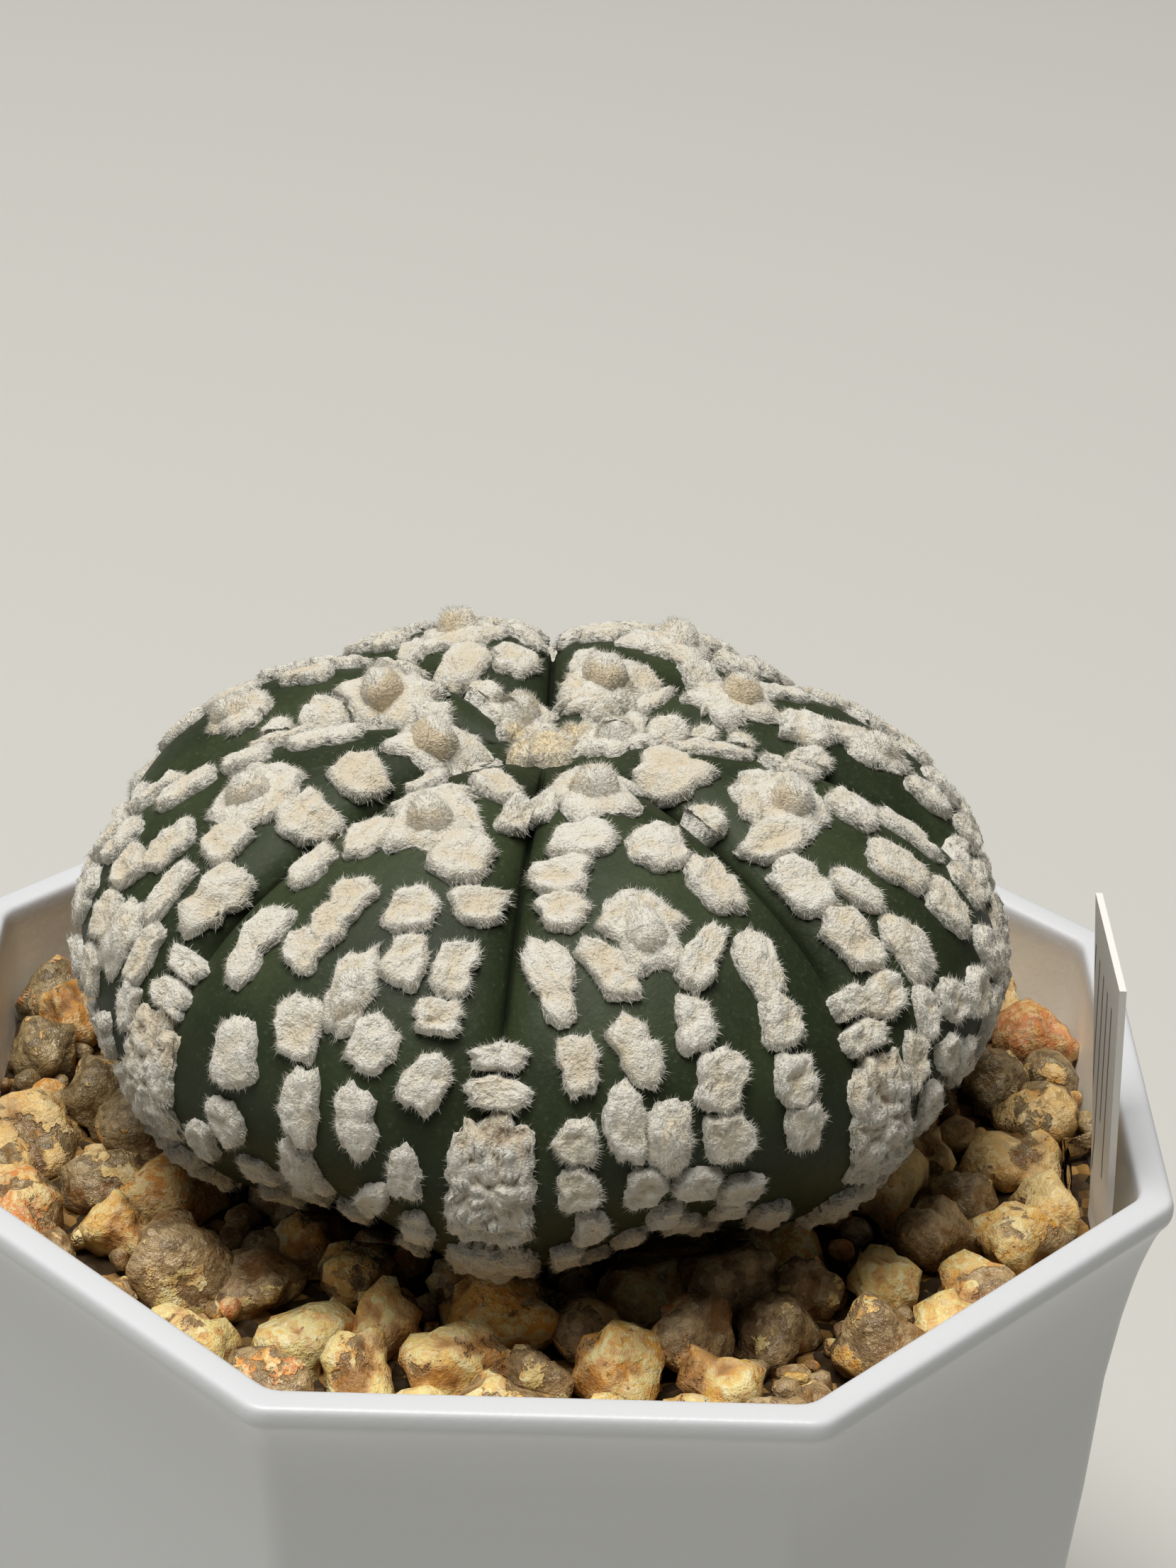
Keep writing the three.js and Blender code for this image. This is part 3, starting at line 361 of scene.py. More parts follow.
# Flecks of one rib: place across the rib (-1 to 1 between its grooves), arc from the crown, half width,
# half length and lean in degrees, as they lie on the four ribs in view
RIB_FRONT_LEFT = [
    [0.34, 10.3, 1.7, 1.6, 0], [0.75, 12.6, 0.9, 2.3, 0], [-0.62, 12.3, 1.2, 1.6, 0],
    [0.36, 13.4, 1.4, 1.2, 0], [0.45, 18.2, 2.4, 2.5, 0], [0.68, 22, 2, 1.9, 0],
    [-0.47, 18.8, 1.8, 2.3, 0], [-0.68, 22.8, 1.3, 2.3, 0], [-0.19, 23.9, 1.7, 1.6, 0],
    [-0.19, 26.2, 1.5, 1.9, 0], [-0.26, 28.6, 1.6, 1.8, 0], [0.27, 23.6, 1.8, 2, 0],
    [0.37, 27.2, 1.7, 2.2, 0], [0.66, 27.2, 1.6, 2.3, -10], [0.64, 30.8, 1.8, 1.4, 0],
    [-0.61, 30, 1.8, 3.6, 0], [-0.08, 33.4, 2, 2.3, 0], [0.33, 33.2, 1.8, 2.2, -20],
    [0.64, 35, 1.6, 2.3, -25], [-0.4, 37, 2, 2.7, 0], [0.04, 38.5, 1.6, 2.9, 0],
    [0.33, 38.4, 1.6, 2.7, 8], [0.58, 41.6, 1.3, 2.1, 5], [-0.39, 42, 1.7, 2, 0],
    [-0.04, 43.9, 1.5, 2.2, -20], [0.15, 44.3, 1.2, 2, -10], [0.4, 44.8, 1.3, 2, -30],
    [0.64, 46.6, 1.3, 2.3, 0], [-0.34, 47, 1.6, 2.2, 0], [-0.6, 44.8, 1.2, 2, 0],
    [0.21, 49.4, 1.3, 2.2, 0], [-0.13, 50.2, 1.3, 2, 0], [0.53, 51.8, 1.2, 2, 0],
    [-0.42, 52.4, 1.3, 2, 0],
]
RIB_FRONT_RIGHT = [
    [-0.8, 10.7, 1.1, 1.9, 0], [-0.42, 15.8, 2.5, 2, 0], [-0.65, 18.9, 2.1, 1.9, 0],
    [-0.65, 22, 1.8, 1.7, 0], [0.28, 17.6, 2.2, 2.3, 0], [0.52, 21.5, 1.9, 2.9, 0],
    [-0.73, 27.6, 1.7, 3.4, 14], [-0.39, 26.8, 1.6, 2.9, 30], [0.17, 26.8, 1.3, 2.9, -42],
    [0.52, 28.3, 1.8, 3, 0], [0.49, 32.3, 1.7, 2.1, 0], [-0.6, 33.2, 1.6, 2.1, 0],
    [-0.31, 32.4, 1.7, 2.9, 22], [0.02, 31.2, 1.6, 2.2, 0], [0.08, 35, 1.8, 2.2, -12],
    [-0.38, 37.1, 1.5, 2.9, 0], [-0.62, 38.3, 1.6, 1.6, 0], [0.1, 38.9, 1.8, 2.1, 18],
    [0.48, 36.3, 1.8, 2.1, 0], [0.51, 39.6, 1.6, 2.1, 0], [-0.6, 41.7, 1.6, 1.7, 0],
    [-0.29, 41.9, 1.6, 1.8, 0], [-0.04, 42, 1.9, 1.4, -10], [-0.53, 45.4, 1.4, 2.1, 0],
    [0.2, 43.4, 1.8, 1.6, 15], [-0.16, 45.4, 1.5, 1.7, 0], [0.21, 46.8, 1.5, 1.7, 0],
    [0.48, 48.6, 1.5, 2.2, 0], [0, 48.8, 1.4, 1.9, 0], [-0.63, 49.4, 1.2, 2, 0],
    [-0.29, 49.8, 1.3, 2.2, 0], [0.19, 52, 1.3, 2, 0], [-0.45, 53.4, 1.3, 1.8, 0],
]
RIB_RIGHT = [
    [-0.5, 10.9, 2, 3.1, 0], [-0.92, 15.8, 1.2, 1.7, 0], [0.36, 12, 1, 3.4, 15],
    [-0.62, 20.2, 2.4, 1.9, 0], [-0.75, 24.3, 1.9, 2.9, 0], [-0.75, 28.9, 1.9, 2.8, 0],
    [-0.47, 26.4, 1.2, 2.6, 10], [-0.58, 30.8, 1.1, 2.8, 0], [-0.77, 33.7, 1.8, 1.8, 0],
    [0.53, 17.4, 1.3, 2.4, 0], [0.28, 22.8, 1.8, 2.3, 0], [0.01, 27.4, 1.8, 2.6, 20],
    [0.08, 31.8, 1.8, 2.4, 10], [0.5, 27.2, 1.3, 3.4, 0], [0.53, 33, 1.5, 2, 0],
    [-0.55, 36.2, 1.1, 2.2, -20], [-0.31, 36.7, 1.5, 1.9, 15], [-0.05, 37.8, 1.6, 2, 0],
    [0.24, 36.5, 1.4, 2.2, 0], [-0.72, 38.8, 1.1, 2.3, -15], [-0.44, 39.9, 1.5, 1.5, 0],
    [0.44, 39.2, 1.5, 2.1, 0], [0.18, 40.9, 1.4, 2.1, 0], [-0.23, 41.8, 1.5, 1.9, 0],
    [-0.6, 43, 1.4, 2, 0], [0.01, 44.8, 1.3, 2.1, 0], [0.34, 45, 1.3, 2, 0],
    [-0.4, 46.4, 1.3, 2, 0], [-0.76, 47.3, 1.3, 2.1, 0], [0.16, 49.2, 1.3, 2, 0],
    [-0.23, 50.4, 1.3, 2, 0], [-0.56, 51.5, 1.2, 2, 0],
]
RIB_LEFT = [
    [0.57, 15, 2.4, 2.1, 0], [0.74, 20.1, 2.3, 2.3, 0], [-0.38, 16, 1.3, 3.4, -10],
    [-0.76, 12.4, 0.9, 1.6, 0], [-0.68, 19.6, 0.9, 2.6, 0], [-0.38, 21.8, 1.3, 1.9, 0],
    [0.52, 25.6, 1.8, 2, 0], [0.81, 28.8, 1.8, 3.6, 0], [0.2, 28.8, 1.4, 2.5, 0],
    [0.09, 31.8, 1.7, 1.5, 0], [-0.38, 26.6, 1.7, 2.4, 0], [-0.68, 29.6, 1.2, 2.4, 0],
    [0.52, 30.6, 1.1, 2.9, 10], [0.67, 34.9, 1, 2.6, 5], [0.2, 35.3, 1.7, 1.9, 0],
    [-0.3, 32.2, 1.5, 2.2, 0], [-0.6, 34.6, 1.4, 2, 0], [-0.24, 36.9, 1.6, 2.2, 0],
    [0.72, 38.6, 1.1, 1.9, 0], [0.24, 39.5, 1.4, 2.1, 0], [-0.54, 39.3, 1.5, 2.2, 0],
    [-0.14, 41.6, 1.5, 2, 0], [0.48, 42.7, 1.4, 2.1, 0], [0.17, 44.4, 1.4, 2.1, 0],
    [0.74, 45, 1.3, 2.1, 0], [-0.4, 43.9, 1.4, 1.9, 0], [-0.08, 47.1, 1.4, 2, 0],
    [0.42, 48, 1.3, 2.1, 0], [-0.46, 48.7, 1.3, 2.2, 0], [0.68, 50.4, 1.2, 2, 0],
    [0.16, 51.1, 1.3, 2, 0],
]

# Flecks round the crown on the four ribs behind it
CROWN_RIGHT = [
    [0.4, 9.1, 0.9, 2.8, 30], [-0.73, 8.6, 1.4, 1.8, 0], [-0.92, 11.2, 1.2, 1.3, 0],
    [-0.89, 14, 0.9, 1.1, 0], [-0.47, 19.4, 1.9, 2.2, 0], [-0.92, 19.6, 1.4, 2, 20],
    [0.29, 19.6, 1.3, 3, 0],
]
CROWN_BACK_RIGHT = [
    [-0.69, 11.2, 1.4, 1.6, 0], [0.47, 18.6, 1.9, 2.3, 0], [0.05, 24, 1.6, 2.2, 0],
    [-0.81, 17.2, 1.3, 2.2, 0], [0.47, 10.8, 1, 1.8, 0], [-0.69, 23.2, 1.4, 2.4, -15],
]
CROWN_BACK_LEFT = [
    [0.6, 11.8, 2.4, 2.4, 0], [0.69, 18.4, 1.2, 1.6, 0], [0.83, 8.2, 1, 1.7, 20],
    [-0.27, 10.2, 1.8, 2.4, -30], [-0.7, 18, 1.3, 2.6, 15], [0.57, 22.6, 1.5, 1.7, 0],
    [-0.45, 23.4, 1.5, 2, 0],
]
CROWN_LEFT = [
    [0.74, 17.2, 1.8, 2, 0], [0.91, 20.9, 1.1, 1.5, 0], [-0.08, 20.4, 1.5, 2.3, 0],
    [-0.65, 15.4, 1.4, 2.2, 0], [-0.69, 21.4, 1.5, 2.2, 0], [0.65, 8.6, 1.1, 1.6, 0],
]


def outer(table):
    return [row for row in table if row[1] > CROWN_ARC]


def bare_side(table):
    """The left flank is bare beside its groove."""
    return [row for row in table if row[0] < 0.42]


# Rib by rib from the front to the right: its flecks, its areoles as arc from the crown and azimuth, and how
# far its flecks are nudged. Outside the crown, the ribs behind repeat the ones in view.
RIB_TABLE = [
    [RIB_FRONT_RIGHT, [[10.3, 18], [24, 16], [38.4, 15]], 0],
    [RIB_RIGHT, [[18.6, 64], [31.6, 57]], 0],
    [[*CROWN_RIGHT, *outer(RIB_LEFT)], [[4.8, 92], [14.6, 112], [25.2, 103], [39, 108]], 0.05],
    [[*CROWN_BACK_RIGHT, *outer(RIB_FRONT_LEFT)], [[8.6, 153], [19, 150], [32.5, 154]], 0.05],
    [[*CROWN_BACK_LEFT, *outer(RIB_FRONT_RIGHT)], [[3.8, 211], [17.8, 202], [31.5, 199]], 0.05],
    [[*CROWN_LEFT, *bare_side(outer(RIB_RIGHT))], [[12.6, 249], [24.8, 251], [38.5, 245]], 0.05],
    [RIB_LEFT, [[8.6, 291], [21.8, 289], [35.2, 294]], 0],
    [RIB_FRONT_LEFT, [[15.6, 330], [30.2, 334], [44.4, 331]], 0],
]


# Under each crease, as arc, half width, half length and kind: two flecks that lie across it, then two large
# crumbled patches
UNDER_CREASE = (
    (32.9, 1.9, 1.0, "fleck"), (35.5, 2.3, 1.15, "fleck"),
    (41.9, 2.9, 4.6, "patch"), (50.1, 2.9, 2.8, "patch"),
)

# New wool in the dip of the crown, as azimuth, arc, half width, half length, lean and height
NEW_WOOL = (
    (0, 1.2, 2.0, 2.2, 0, 1.9), (-40, 2.6, 1.2, 2.0, 20, 1.5),
    (120, 2.4, 1.1, 1.7, 0, 1.4), (-120, 2.3, 1.0, 1.5, 0, 1.2),
)


def near_crown(arc):
    """1 for areoles near the crown, down to 0 for the ones further out."""
    return 1 - float(smooth(18, 30, arc))


def make_flecks():
    """Every fleck, pad, tuft and patch, drawn in the part's own order so that each lies on its solid."""
    draw = Draw(FLECK_SEED)
    flecks = []

    def add(azimuth, arc, half_width, half_length, lean, kind, height):
        turns = draw() * FULL_TURN, draw() * FULL_TURN
        flecks.append((azimuth, arc, half_width, half_length, lean * DEG, kind, height, *turns))

    for rib, (table, areoles, nudge) in enumerate(RIB_TABLE):
        middle, half = rib_span(rib)
        for arc, azimuth in areoles:
            # Areoles near the crown stand up from a broad petalled pad, the ones further out lie in a low one
            near = near_crown(arc)
            inner = 0.75 + 0.25 * float(smooth(3, 9, arc))
            width = (1.7 + 1.5 * near) * inner
            add(azimuth, arc, width, (2.9 + 0.7 * near) * inner, 0, "pad", FLECK_HEIGHT)
            if near > 0.3:
                add(azimuth - 5 * near, arc - 0.6 * width, 1.0, width * 0.9, -50, "pad", FLECK_HEIGHT)
                add(azimuth + 5 * near, arc - 0.5 * width, 1.0, width * 0.9, 50, "pad", FLECK_HEIGHT)
            size = 1.2 + 0.35 * near
            rise = FLECK_HEIGHT * 0.8 + TUFT_HEIGHT * (0.4 + 0.6 * near)
            add(azimuth, arc + 0.35, size, size + 0.9 * (1 - near), 0, "tuft", rise)
        for u, row_arc, half_width, half_length, lean in table:
            azimuth = middle + half * (u + nudge * (draw() - 0.5))
            at = row_arc + nudge * 14 * (draw() - 0.5)
            clear = all(
                math.hypot(wrap(azimuth - beside) * DEG * float(radius_at(at)), at - arc)
                > 1.4 + 1.4 * near_crown(arc) + 0.3 * half_length
                for arc, beside in areoles
            )
            if clear:
                height = FLECK_HEIGHT * (0.85 + 0.3 * draw())
                add(azimuth, at, FLECK_SCALE * half_width, FLECK_SCALE * half_length, lean, "fleck", height)
    for k, groove in enumerate(GROOVES):
        shift = 0 if k == 0 else 1.2 * draw()
        for arc, half_width, half_length, kind in UNDER_CREASE:
            add(groove, arc + shift, half_width, half_length, 0, kind, FLECK_HEIGHT)
    for azimuth, arc, half_width, half_length, lean, height in NEW_WOOL:
        add(azimuth, arc, half_width, half_length, lean, "wool", height)
    return flecks


# Rings of a felt dome as shares of its reach, the last one or two under the skin
ROWS_FLECK = (0.0, 0.15, 0.3, 0.45, 0.59, 0.72, 0.83, 0.91, 0.97, 1.0, 1.02, 0.96)
ROWS_PATCH = (0.0, *[0.07 * i for i in range(1, 13)], 0.89, 0.94, 0.98, 1.0, 1.02, 0.97)
ROWS_DOME = (0.0, 0.16, 0.32, 0.48, 0.62, 0.74, 0.84, 0.92, 0.97, 1.0)

# Kinds of felt: seed, rings, sides, heave of the shell, and shares of the hairs round it and over its top
FELT_KINDS = {
    "fleck": (505, ROWS_FLECK, 36, 1.0, 1.0, 1.0),
    "pad": (503, ROWS_FLECK, 40, 1.0, 1.1, 1.0),
    "patch": (505, ROWS_PATCH, 72, 1.0, 2.0, 4.0),
    "tuft": (611, ROWS_DOME, 36, 1.0, 0.8, 7.5),
    "wool": (613, ROWS_DOME, 34, 1.1, 0.9, 5.0),
}
HAIR_SEED = 900


class Felt:
    """The flecks of one kind as columns of numbers, one row a fleck."""

    def __init__(self, kind, looks):
        rows = [fleck for fleck in make_flecks() if fleck[5] == kind]
        draw = Draw(FELT_KINDS[kind][0])
        grow = {"fleck": looks.spread, "tuft": looks.tuft_spread}.get(kind, 1.0)
        self.count = len(rows)
        self.kind = kind
        columns = [np.array([row[i] for row in rows], float)[:, None] for i in (0, 1, 2, 3, 4, 6, 7, 8)]
        self.azimuth, self.arc, half_width, half_length = columns[:4]
        self.lean, self.height, self.turn, self.twist = columns[4:]
        self.half_width = half_width * grow
        self.half_length = half_length * grow
        self.frill, self.notch, self.notch_depth, self.hollow, self.warmth = (
            draw.spread(self.count, low, high)[:, None]
            for low, high in ((0, FULL_TURN), (-0.5, 0.5), (0.0, 0.34), (0, 1), (0, 1))
        )
        nudges = draw.spread(self.count * 6, -0.5, 0.5).reshape(-1, 6)
        self.facets = (np.arange(6) + 0.5 * nudges) * math.pi / 3 + self.turn
        self.reaches = draw.spread(self.count * 6, 0.8, 1.04).reshape(-1, 6)
        away = from_groove(self.azimuth)[1] * DEG * radius_at(self.arc)
        self.creased = np.where(away < BRIDGE_REACH, 0.0, 1.0)
        self.hollow = self.hollow * self.creased
        self.notch_depth = self.notch_depth * self.creased

    def only(self, chosen):
        """The flecks where chosen is true."""
        part = copy.copy(self)
        for name, value in vars(self).items():
            if isinstance(value, np.ndarray):
                setattr(part, name, value[chosen])
        part.count = int(np.count_nonzero(chosen))
        return part

    def edge(self, t):
        """Reach of the edge in direction t, as a factor on the half sizes."""
        c, s = np.cos(t), np.sin(t)
        wave = 1 + 0.05 * np.cos(3 * t + self.turn) + 0.04 * np.cos(5 * t + self.twist)
        if self.kind in ("tuft", "wool"):
            return wave * (1 + 0.025 * np.cos(9 * t + self.frill))
        jag = 1 + 0.04 * np.cos(9 * t + self.frill) + 0.035 * np.cos(15 * t + 2 * self.twist)
        if self.kind == "patch":
            # Squarish, ragged at the sides, and the upper ones come to a peak towards the crown
            square = (np.abs(c) ** 5 + np.abs(s) ** 5) ** -0.2
            peak = np.exp(-((wrap(t / DEG + 90) / 17) ** 2)) * (self.arc < UPPER_PATCH_ARC)
            return square * (0.5 + 0.5 * wave) * (jag + 0.045 * np.cos(22 * t + self.turn) + 0.13 * peak)
        # Flecks are rough six-sided plates with soft corners
        facing = sum(
            np.clip(np.cos(t - self.facets[:, i:i + 1]) / self.reaches[:, i:i + 1], 0, None) ** 11
            for i in range(6)
        )
        plate = np.clip(facing ** (-1 / 11), 0.7, 1.25) * (0.45 + 0.55 * (c ** 4 + s ** 4) ** -0.25)
        if self.kind == "pad":
            torn = 1 - 0.7 * smooth(11, 22, self.arc)
            star = 1 + torn * (0.34 * (0.5 + 0.5 * np.cos(5 * t + self.frill)) ** 1.4 - 0.16)
            return plate * wave * jag * star
        # Two flecks grown together leave a notch on each side
        long = smooth(1.15, 1.5, self.half_length / self.half_width)
        waist = np.exp(-(((s + self.notch * 0.8) / 0.17) ** 2)) * (0.3 + 0.7 * (c > 0))
        return plate * wave * jag * (1 - self.notch_depth * (0.2 + 0.8 * long) * waist)

    def place(self, x, y):
        """Arc and azimuth of the points x across and y along from each fleck's middle."""
        a = x * np.cos(self.lean) + y * np.sin(self.lean)
        b = -x * np.sin(self.lean) + y * np.cos(self.lean)
        angle = self.azimuth * DEG
        px = (self.arc + b) * np.sin(angle) + a * np.cos(angle)
        py = (self.arc + b) * np.cos(angle) - a * np.sin(angle)
        near = self.arc < 16
        arc = np.where(near, np.hypot(px, py), self.arc + b)
        azimuth = np.where(near, np.arctan2(px, py) / DEG, self.azimuth + a / radius_at(self.arc + b) / DEG)
        return arc, azimuth

    def top(self, m, t):
        """Height of the felt over the skin, in mm, before its lumps, and how hollow it is there."""
        if self.kind == "wool":
            slit = np.exp(-((m * np.cos(t + self.frill) / 0.16) ** 2))
            return self.height * (np.sqrt(np.clip(1 - m * m, 0, 1)) - 0.28 * slit), slit
        if self.kind == "tuft":
            ball = np.sqrt(np.clip(1 - (m / 0.84) ** 2, 0, 1))
            return self.height * (0.66 * ball + 0.34 * (1 - smooth(0.4, 1.04, m))) - 0.1, 0 * m
        bowl = np.exp(-((m / 0.6) ** 2.4)) * smooth(0.2, 0.7, self.hollow)
        y = m * np.sin(t)
        seam = np.exp(-(((y + self.notch * 0.8) / 0.12) ** 2)) * smooth(0.1, 0.25, self.notch_depth)
        shoulder = 1 - smooth(0.8, 1.03, m) * 0.6
        rest = 0.5 + 0.42 * (1 - m * m) if self.kind == "pad" else 0.9
        rim = np.exp(-(((m - 0.78) / 0.14) ** 2)) * smooth(0.2, 0.7, self.hollow)
        high = self.height * shoulder * rest + 0.06 * (1 - m * m) + 0.05 * rim - 0.14 * bowl
        return high - 0.16 * seam * (1 - m * 0.4), np.clip(0.6 * bowl + 0.25 * seam, 0, 1)


def heaving_at(points, kind):
    """Lumps and wrinkles of the felt, about -1 to 1."""
    soft = 0.7 * lumps(points, 0.7, 3.1) + 0.4 * lumps(points, 2.1, 7.7)
    clump = 0.45 - cells(points, 0.95, 1.3)
    if kind == "patch":
        # Crumbs lie wider than high
        flat = points * [1, 1, 1.6]
        crumb = 0.45 - cells(flat, 0.8, 6.1)
        return 0.9 * soft + 3.4 * crumb + 1.4 * (0.45 - cells(flat, 1.3, 1.3)) + 0.3 * lumps(points, 3.0, 2.2)
    crack = 1 - smooth(0.0, 0.09, np.abs(lumps(points, 0.7, 5.5)))
    return soft + 1.3 * clump - 0.25 * crack + 0.35 * lumps(points, 3.6, 2.2)


def felt_points(felt, m, t, heave, sink=0.0):
    """Points of the flecks in mm, and their marks: tone from white to deep cream, partly painted shade, brown
    pits, and painted shade low on the flank.
    """
    reach = felt.edge(t) * m
    x = felt.half_width * np.cos(t) * reach
    y = felt.half_length * np.sin(t) * reach
    arc, azimuth = felt.place(x, y)
    ground = skin_point(arc, azimuth, felt.creased)
    normal = skin_normal(arc, azimuth, felt.creased)
    high, hollow = felt.top(m, t)
    heaving = heaving_at(ground.reshape(-1, 3), felt.kind).reshape(ground.shape[:2])
    fall = 1 - smooth(0.86, 1.02, m)
    lift = high + heave * heaving * (0.4 + 0.6 * fall)
    lift = np.where(sink > 0, lift * (1 - sink) - 0.25 * sink - 1.1 * sink * (1 - felt.creased), lift)
    # Tone is partly painted shade, deeper in the hollows and the low lumps, and partly each fleck's own drawn
    # warmth
    tone = 0.26 + 0.6 * hollow - 0.45 * heaving + 0.3 * (felt.warmth - 0.5)
    pit = np.zeros_like(tone)
    if felt.kind == "tuft":
        # Tan on the sides of each tuft, white on its top and foot: partly the wool's own tan, partly painted
        # shade
        tan_and_shade = (0.35 + 0.65 * felt.warmth) * (1 - 0.5 * smooth(14, 24, felt.arc))
        patchy = 0.75 + 0.5 * np.cos(t + felt.frill)
        tone = tan_and_shade * patchy * smooth(0.1, 0.5, m) * (1 - smooth(0.66, 0.95, m)) - 0.3 * heaving
    elif felt.kind == "patch":
        high = np.clip(-y / felt.half_length, 0, 1) * (felt.arc < UPPER_PATCH_ARC)
        tone = tone + 0.7 * smooth(0.35, 1, high)
        # Brown in the deepest hollows of the patches, most on their upper part
        pit = smooth(0.7, 1.5, -heaving) * (0.25 + 0.65 * smooth(0.0, 0.4, high))
        pit = pit * (1 - smooth(0.85, 0.98, m))
    tone = tone - 0.4 * (1 - fall) * (felt.kind != "tuft")
    # Painted shade greys the felt low on the flank, from 34 to 50 mm of arc
    marks = {"tone": np.clip(tone, 0, 1), "pit": np.clip(pit, 0, 1), "old": smooth(34, 50, arc)}
    return ground + normal * lift[..., None], marks


def felt_mesh(felt, looks):
    """Domed felt: rings from the middle of each fleck out to its edge and under the skin."""
    _, rows, sides, heave, *_ = FELT_KINDS[felt.kind]
    rows = np.array(rows)
    last = len(rows) - 1
    levels = np.concatenate([[0.0], np.repeat(rows[1:], sides)])[None, :]
    ring = np.arange(sides) / sides * 2 * math.pi
    half = math.pi / sides
    turns = np.concatenate([[0.0], *[ring + half * (i % 2) for i in range(1, last + 1)]])[None, :]
    sink = np.zeros_like(levels)
    sink[0, 1 + (last - 1) * sides:] = 1.0
    sink[0, 1 + (last - 2) * sides:1 + (last - 1) * sides] = 0.55
    points, marks = felt_points(felt, levels, turns, heave * looks.lump / MM, sink)
    faces = [(0, 1 + i, 1 + (i + 1) % sides) for i in range(sides)]
    for r in range(1, last):
        low = 1 + (r - 1) * sides
        high = low + sides
        for i in range(sides):
            j = (i + 1) % sides
            if r % 2:
                faces.append((low + i, high + i, low + j))
                faces.append((low + j, high + i, high + j))
            else:
                faces.append((low + i, high + i, high + j))
                faces.append((low + i, high + j, low + j))
    one = np.array(faces)
    step = levels.shape[1]
    everyone = (one[None, :, :] + step * np.arange(felt.count)[:, None, None]).reshape(-1, 3)
    marks = {key: values.reshape(-1) for key, values in marks.items()}
    return points.reshape(-1, 3), everyone[:, ::-1], marks


def spikes(roots, tips, width):
    """Fine three-sided hairs from roots to tips, in mm, open where they stand in the felt."""
    axis = unit(tips - roots)
    helper = np.where(np.abs(axis[:, 2:3]) < 0.9, [[0, 0, 1.0]], [[1.0, 0, 0]])
    side = unit(np.cross(axis, helper))
    other = np.cross(axis, side)
    corners = [
        roots + 0.5 * width * (math.cos(a) * side + math.sin(a) * other)
        for a in (0, 2.0944, 4.1888)
    ]
    points = np.stack([*corners, tips], 1).reshape(-1, 3)
    base = 4 * np.arange(len(roots))[:, None, None]
    faces = (np.array([[0, 1, 3], [1, 2, 3], [2, 0, 3]])[None] + base).reshape(-1, 3)
    return points, faces


def hairs_of(felt, looks, each, seed, top):
    """Hairs of the flecks: round the edge, or short ones over the top."""
    draw = Draw(seed)
    heave, reach = looks.lump / MM, looks.hair / MM
    total = felt.count * each
    shape = (felt.count, each)
    t = draw.spread(total, 0, 2 * math.pi).reshape(shape)
    zeros = np.zeros(shape)
    if top:
        m = np.sqrt(draw.spread(total, 0.0, 0.8)).reshape(shape)
        lean_out = draw.spread(total, -1.6, 1.6).reshape(shape)
        size = reach * draw.spread(total, 0.35, 0.9).reshape(shape)
        rise = draw.spread(total, 0.05, 0.5).reshape(shape)
    else:
        m = draw.spread(total, 0.84, 1.0).reshape(shape)
        lean_out = draw.spread(total, -0.7, 0.7).reshape(shape)
        size = reach * (0.35 + 1.0 * draw.spread(total) ** 2).reshape(shape)
        rise = draw.spread(total, -0.35, 0.45).reshape(shape)
    roots, marks = felt_points(felt, m, t, heave)
    centre = felt_points(felt, zeros, t, heave)[0]
    arc, azimuth = felt.place(zeros, zeros)
    normal = skin_normal(arc, azimuth)
    out = roots - centre
    out = out - normal * np.sum(out * normal, -1, keepdims=True)
    out = unit(out, 1e-6)
    side = np.cross(normal, out)
    way = out * np.cos(lean_out)[..., None] + side * np.sin(lean_out)[..., None] + normal * rise[..., None]
    if felt.kind in ("tuft", "wool"):
        way = 0.5 * way + out * (1.3 * m)[..., None] + normal * (0.9 - 0.9 * m ** 2)[..., None]
        size = size * 1.25
    way = unit(way, 1e-6)
    tips = roots + way * size[..., None]
    roots = roots - way * 0.12
    thick = looks.hair_width / MM * draw.spread(total, 0.6, 1.5)[:, None]
    points, faces = spikes(roots.reshape(-1, 3), tips.reshape(-1, 3), thick)
    # The hairs carry the painted shade low on the flank too
    marks = {"tone": np.repeat(marks["tone"] * 0.35, 4), "old": np.repeat(marks["old"], 4)}
    return points, faces, marks


def joined(meshes):
    """Several (points, faces, marks of the points) as one."""
    bases = np.cumsum([0, *[len(points) for points, *_ in meshes]])
    faces = np.concatenate([np.asarray(mesh[1]) + base for mesh, base in zip(meshes, bases)])
    marks = {key: np.concatenate([mesh[2][key] for mesh in meshes]) for key in meshes[0][2]}
    return np.concatenate([mesh[0] for mesh in meshes]), faces, marks


def make_piece(name, form, finish, smoothed=True):
    """A mesh object that rides on the part, from its points in mm, its faces and the marks of its points."""
    points, faces, marks = form
    mesh = bpy.data.meshes.new(name)
    faces = faces.tolist() if isinstance(faces, np.ndarray) else faces
    mesh.from_pydata((points * MM).tolist(), [], faces)
    for key, values in marks.items():
        layer = mesh.attributes.new(key, "FLOAT", "POINT")
        layer.data.foreach_set("value", np.asarray(values, np.float32))
    mesh.polygons.foreach_set("use_smooth", [smoothed] * len(mesh.polygons))
    mesh.materials.append(finish)
    mesh.validate()
    mesh.update()
    piece = bpy.data.objects.new(name, mesh)
    bpy.context.scene.collection.objects.link(piece)
    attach(piece, "root")
    return piece


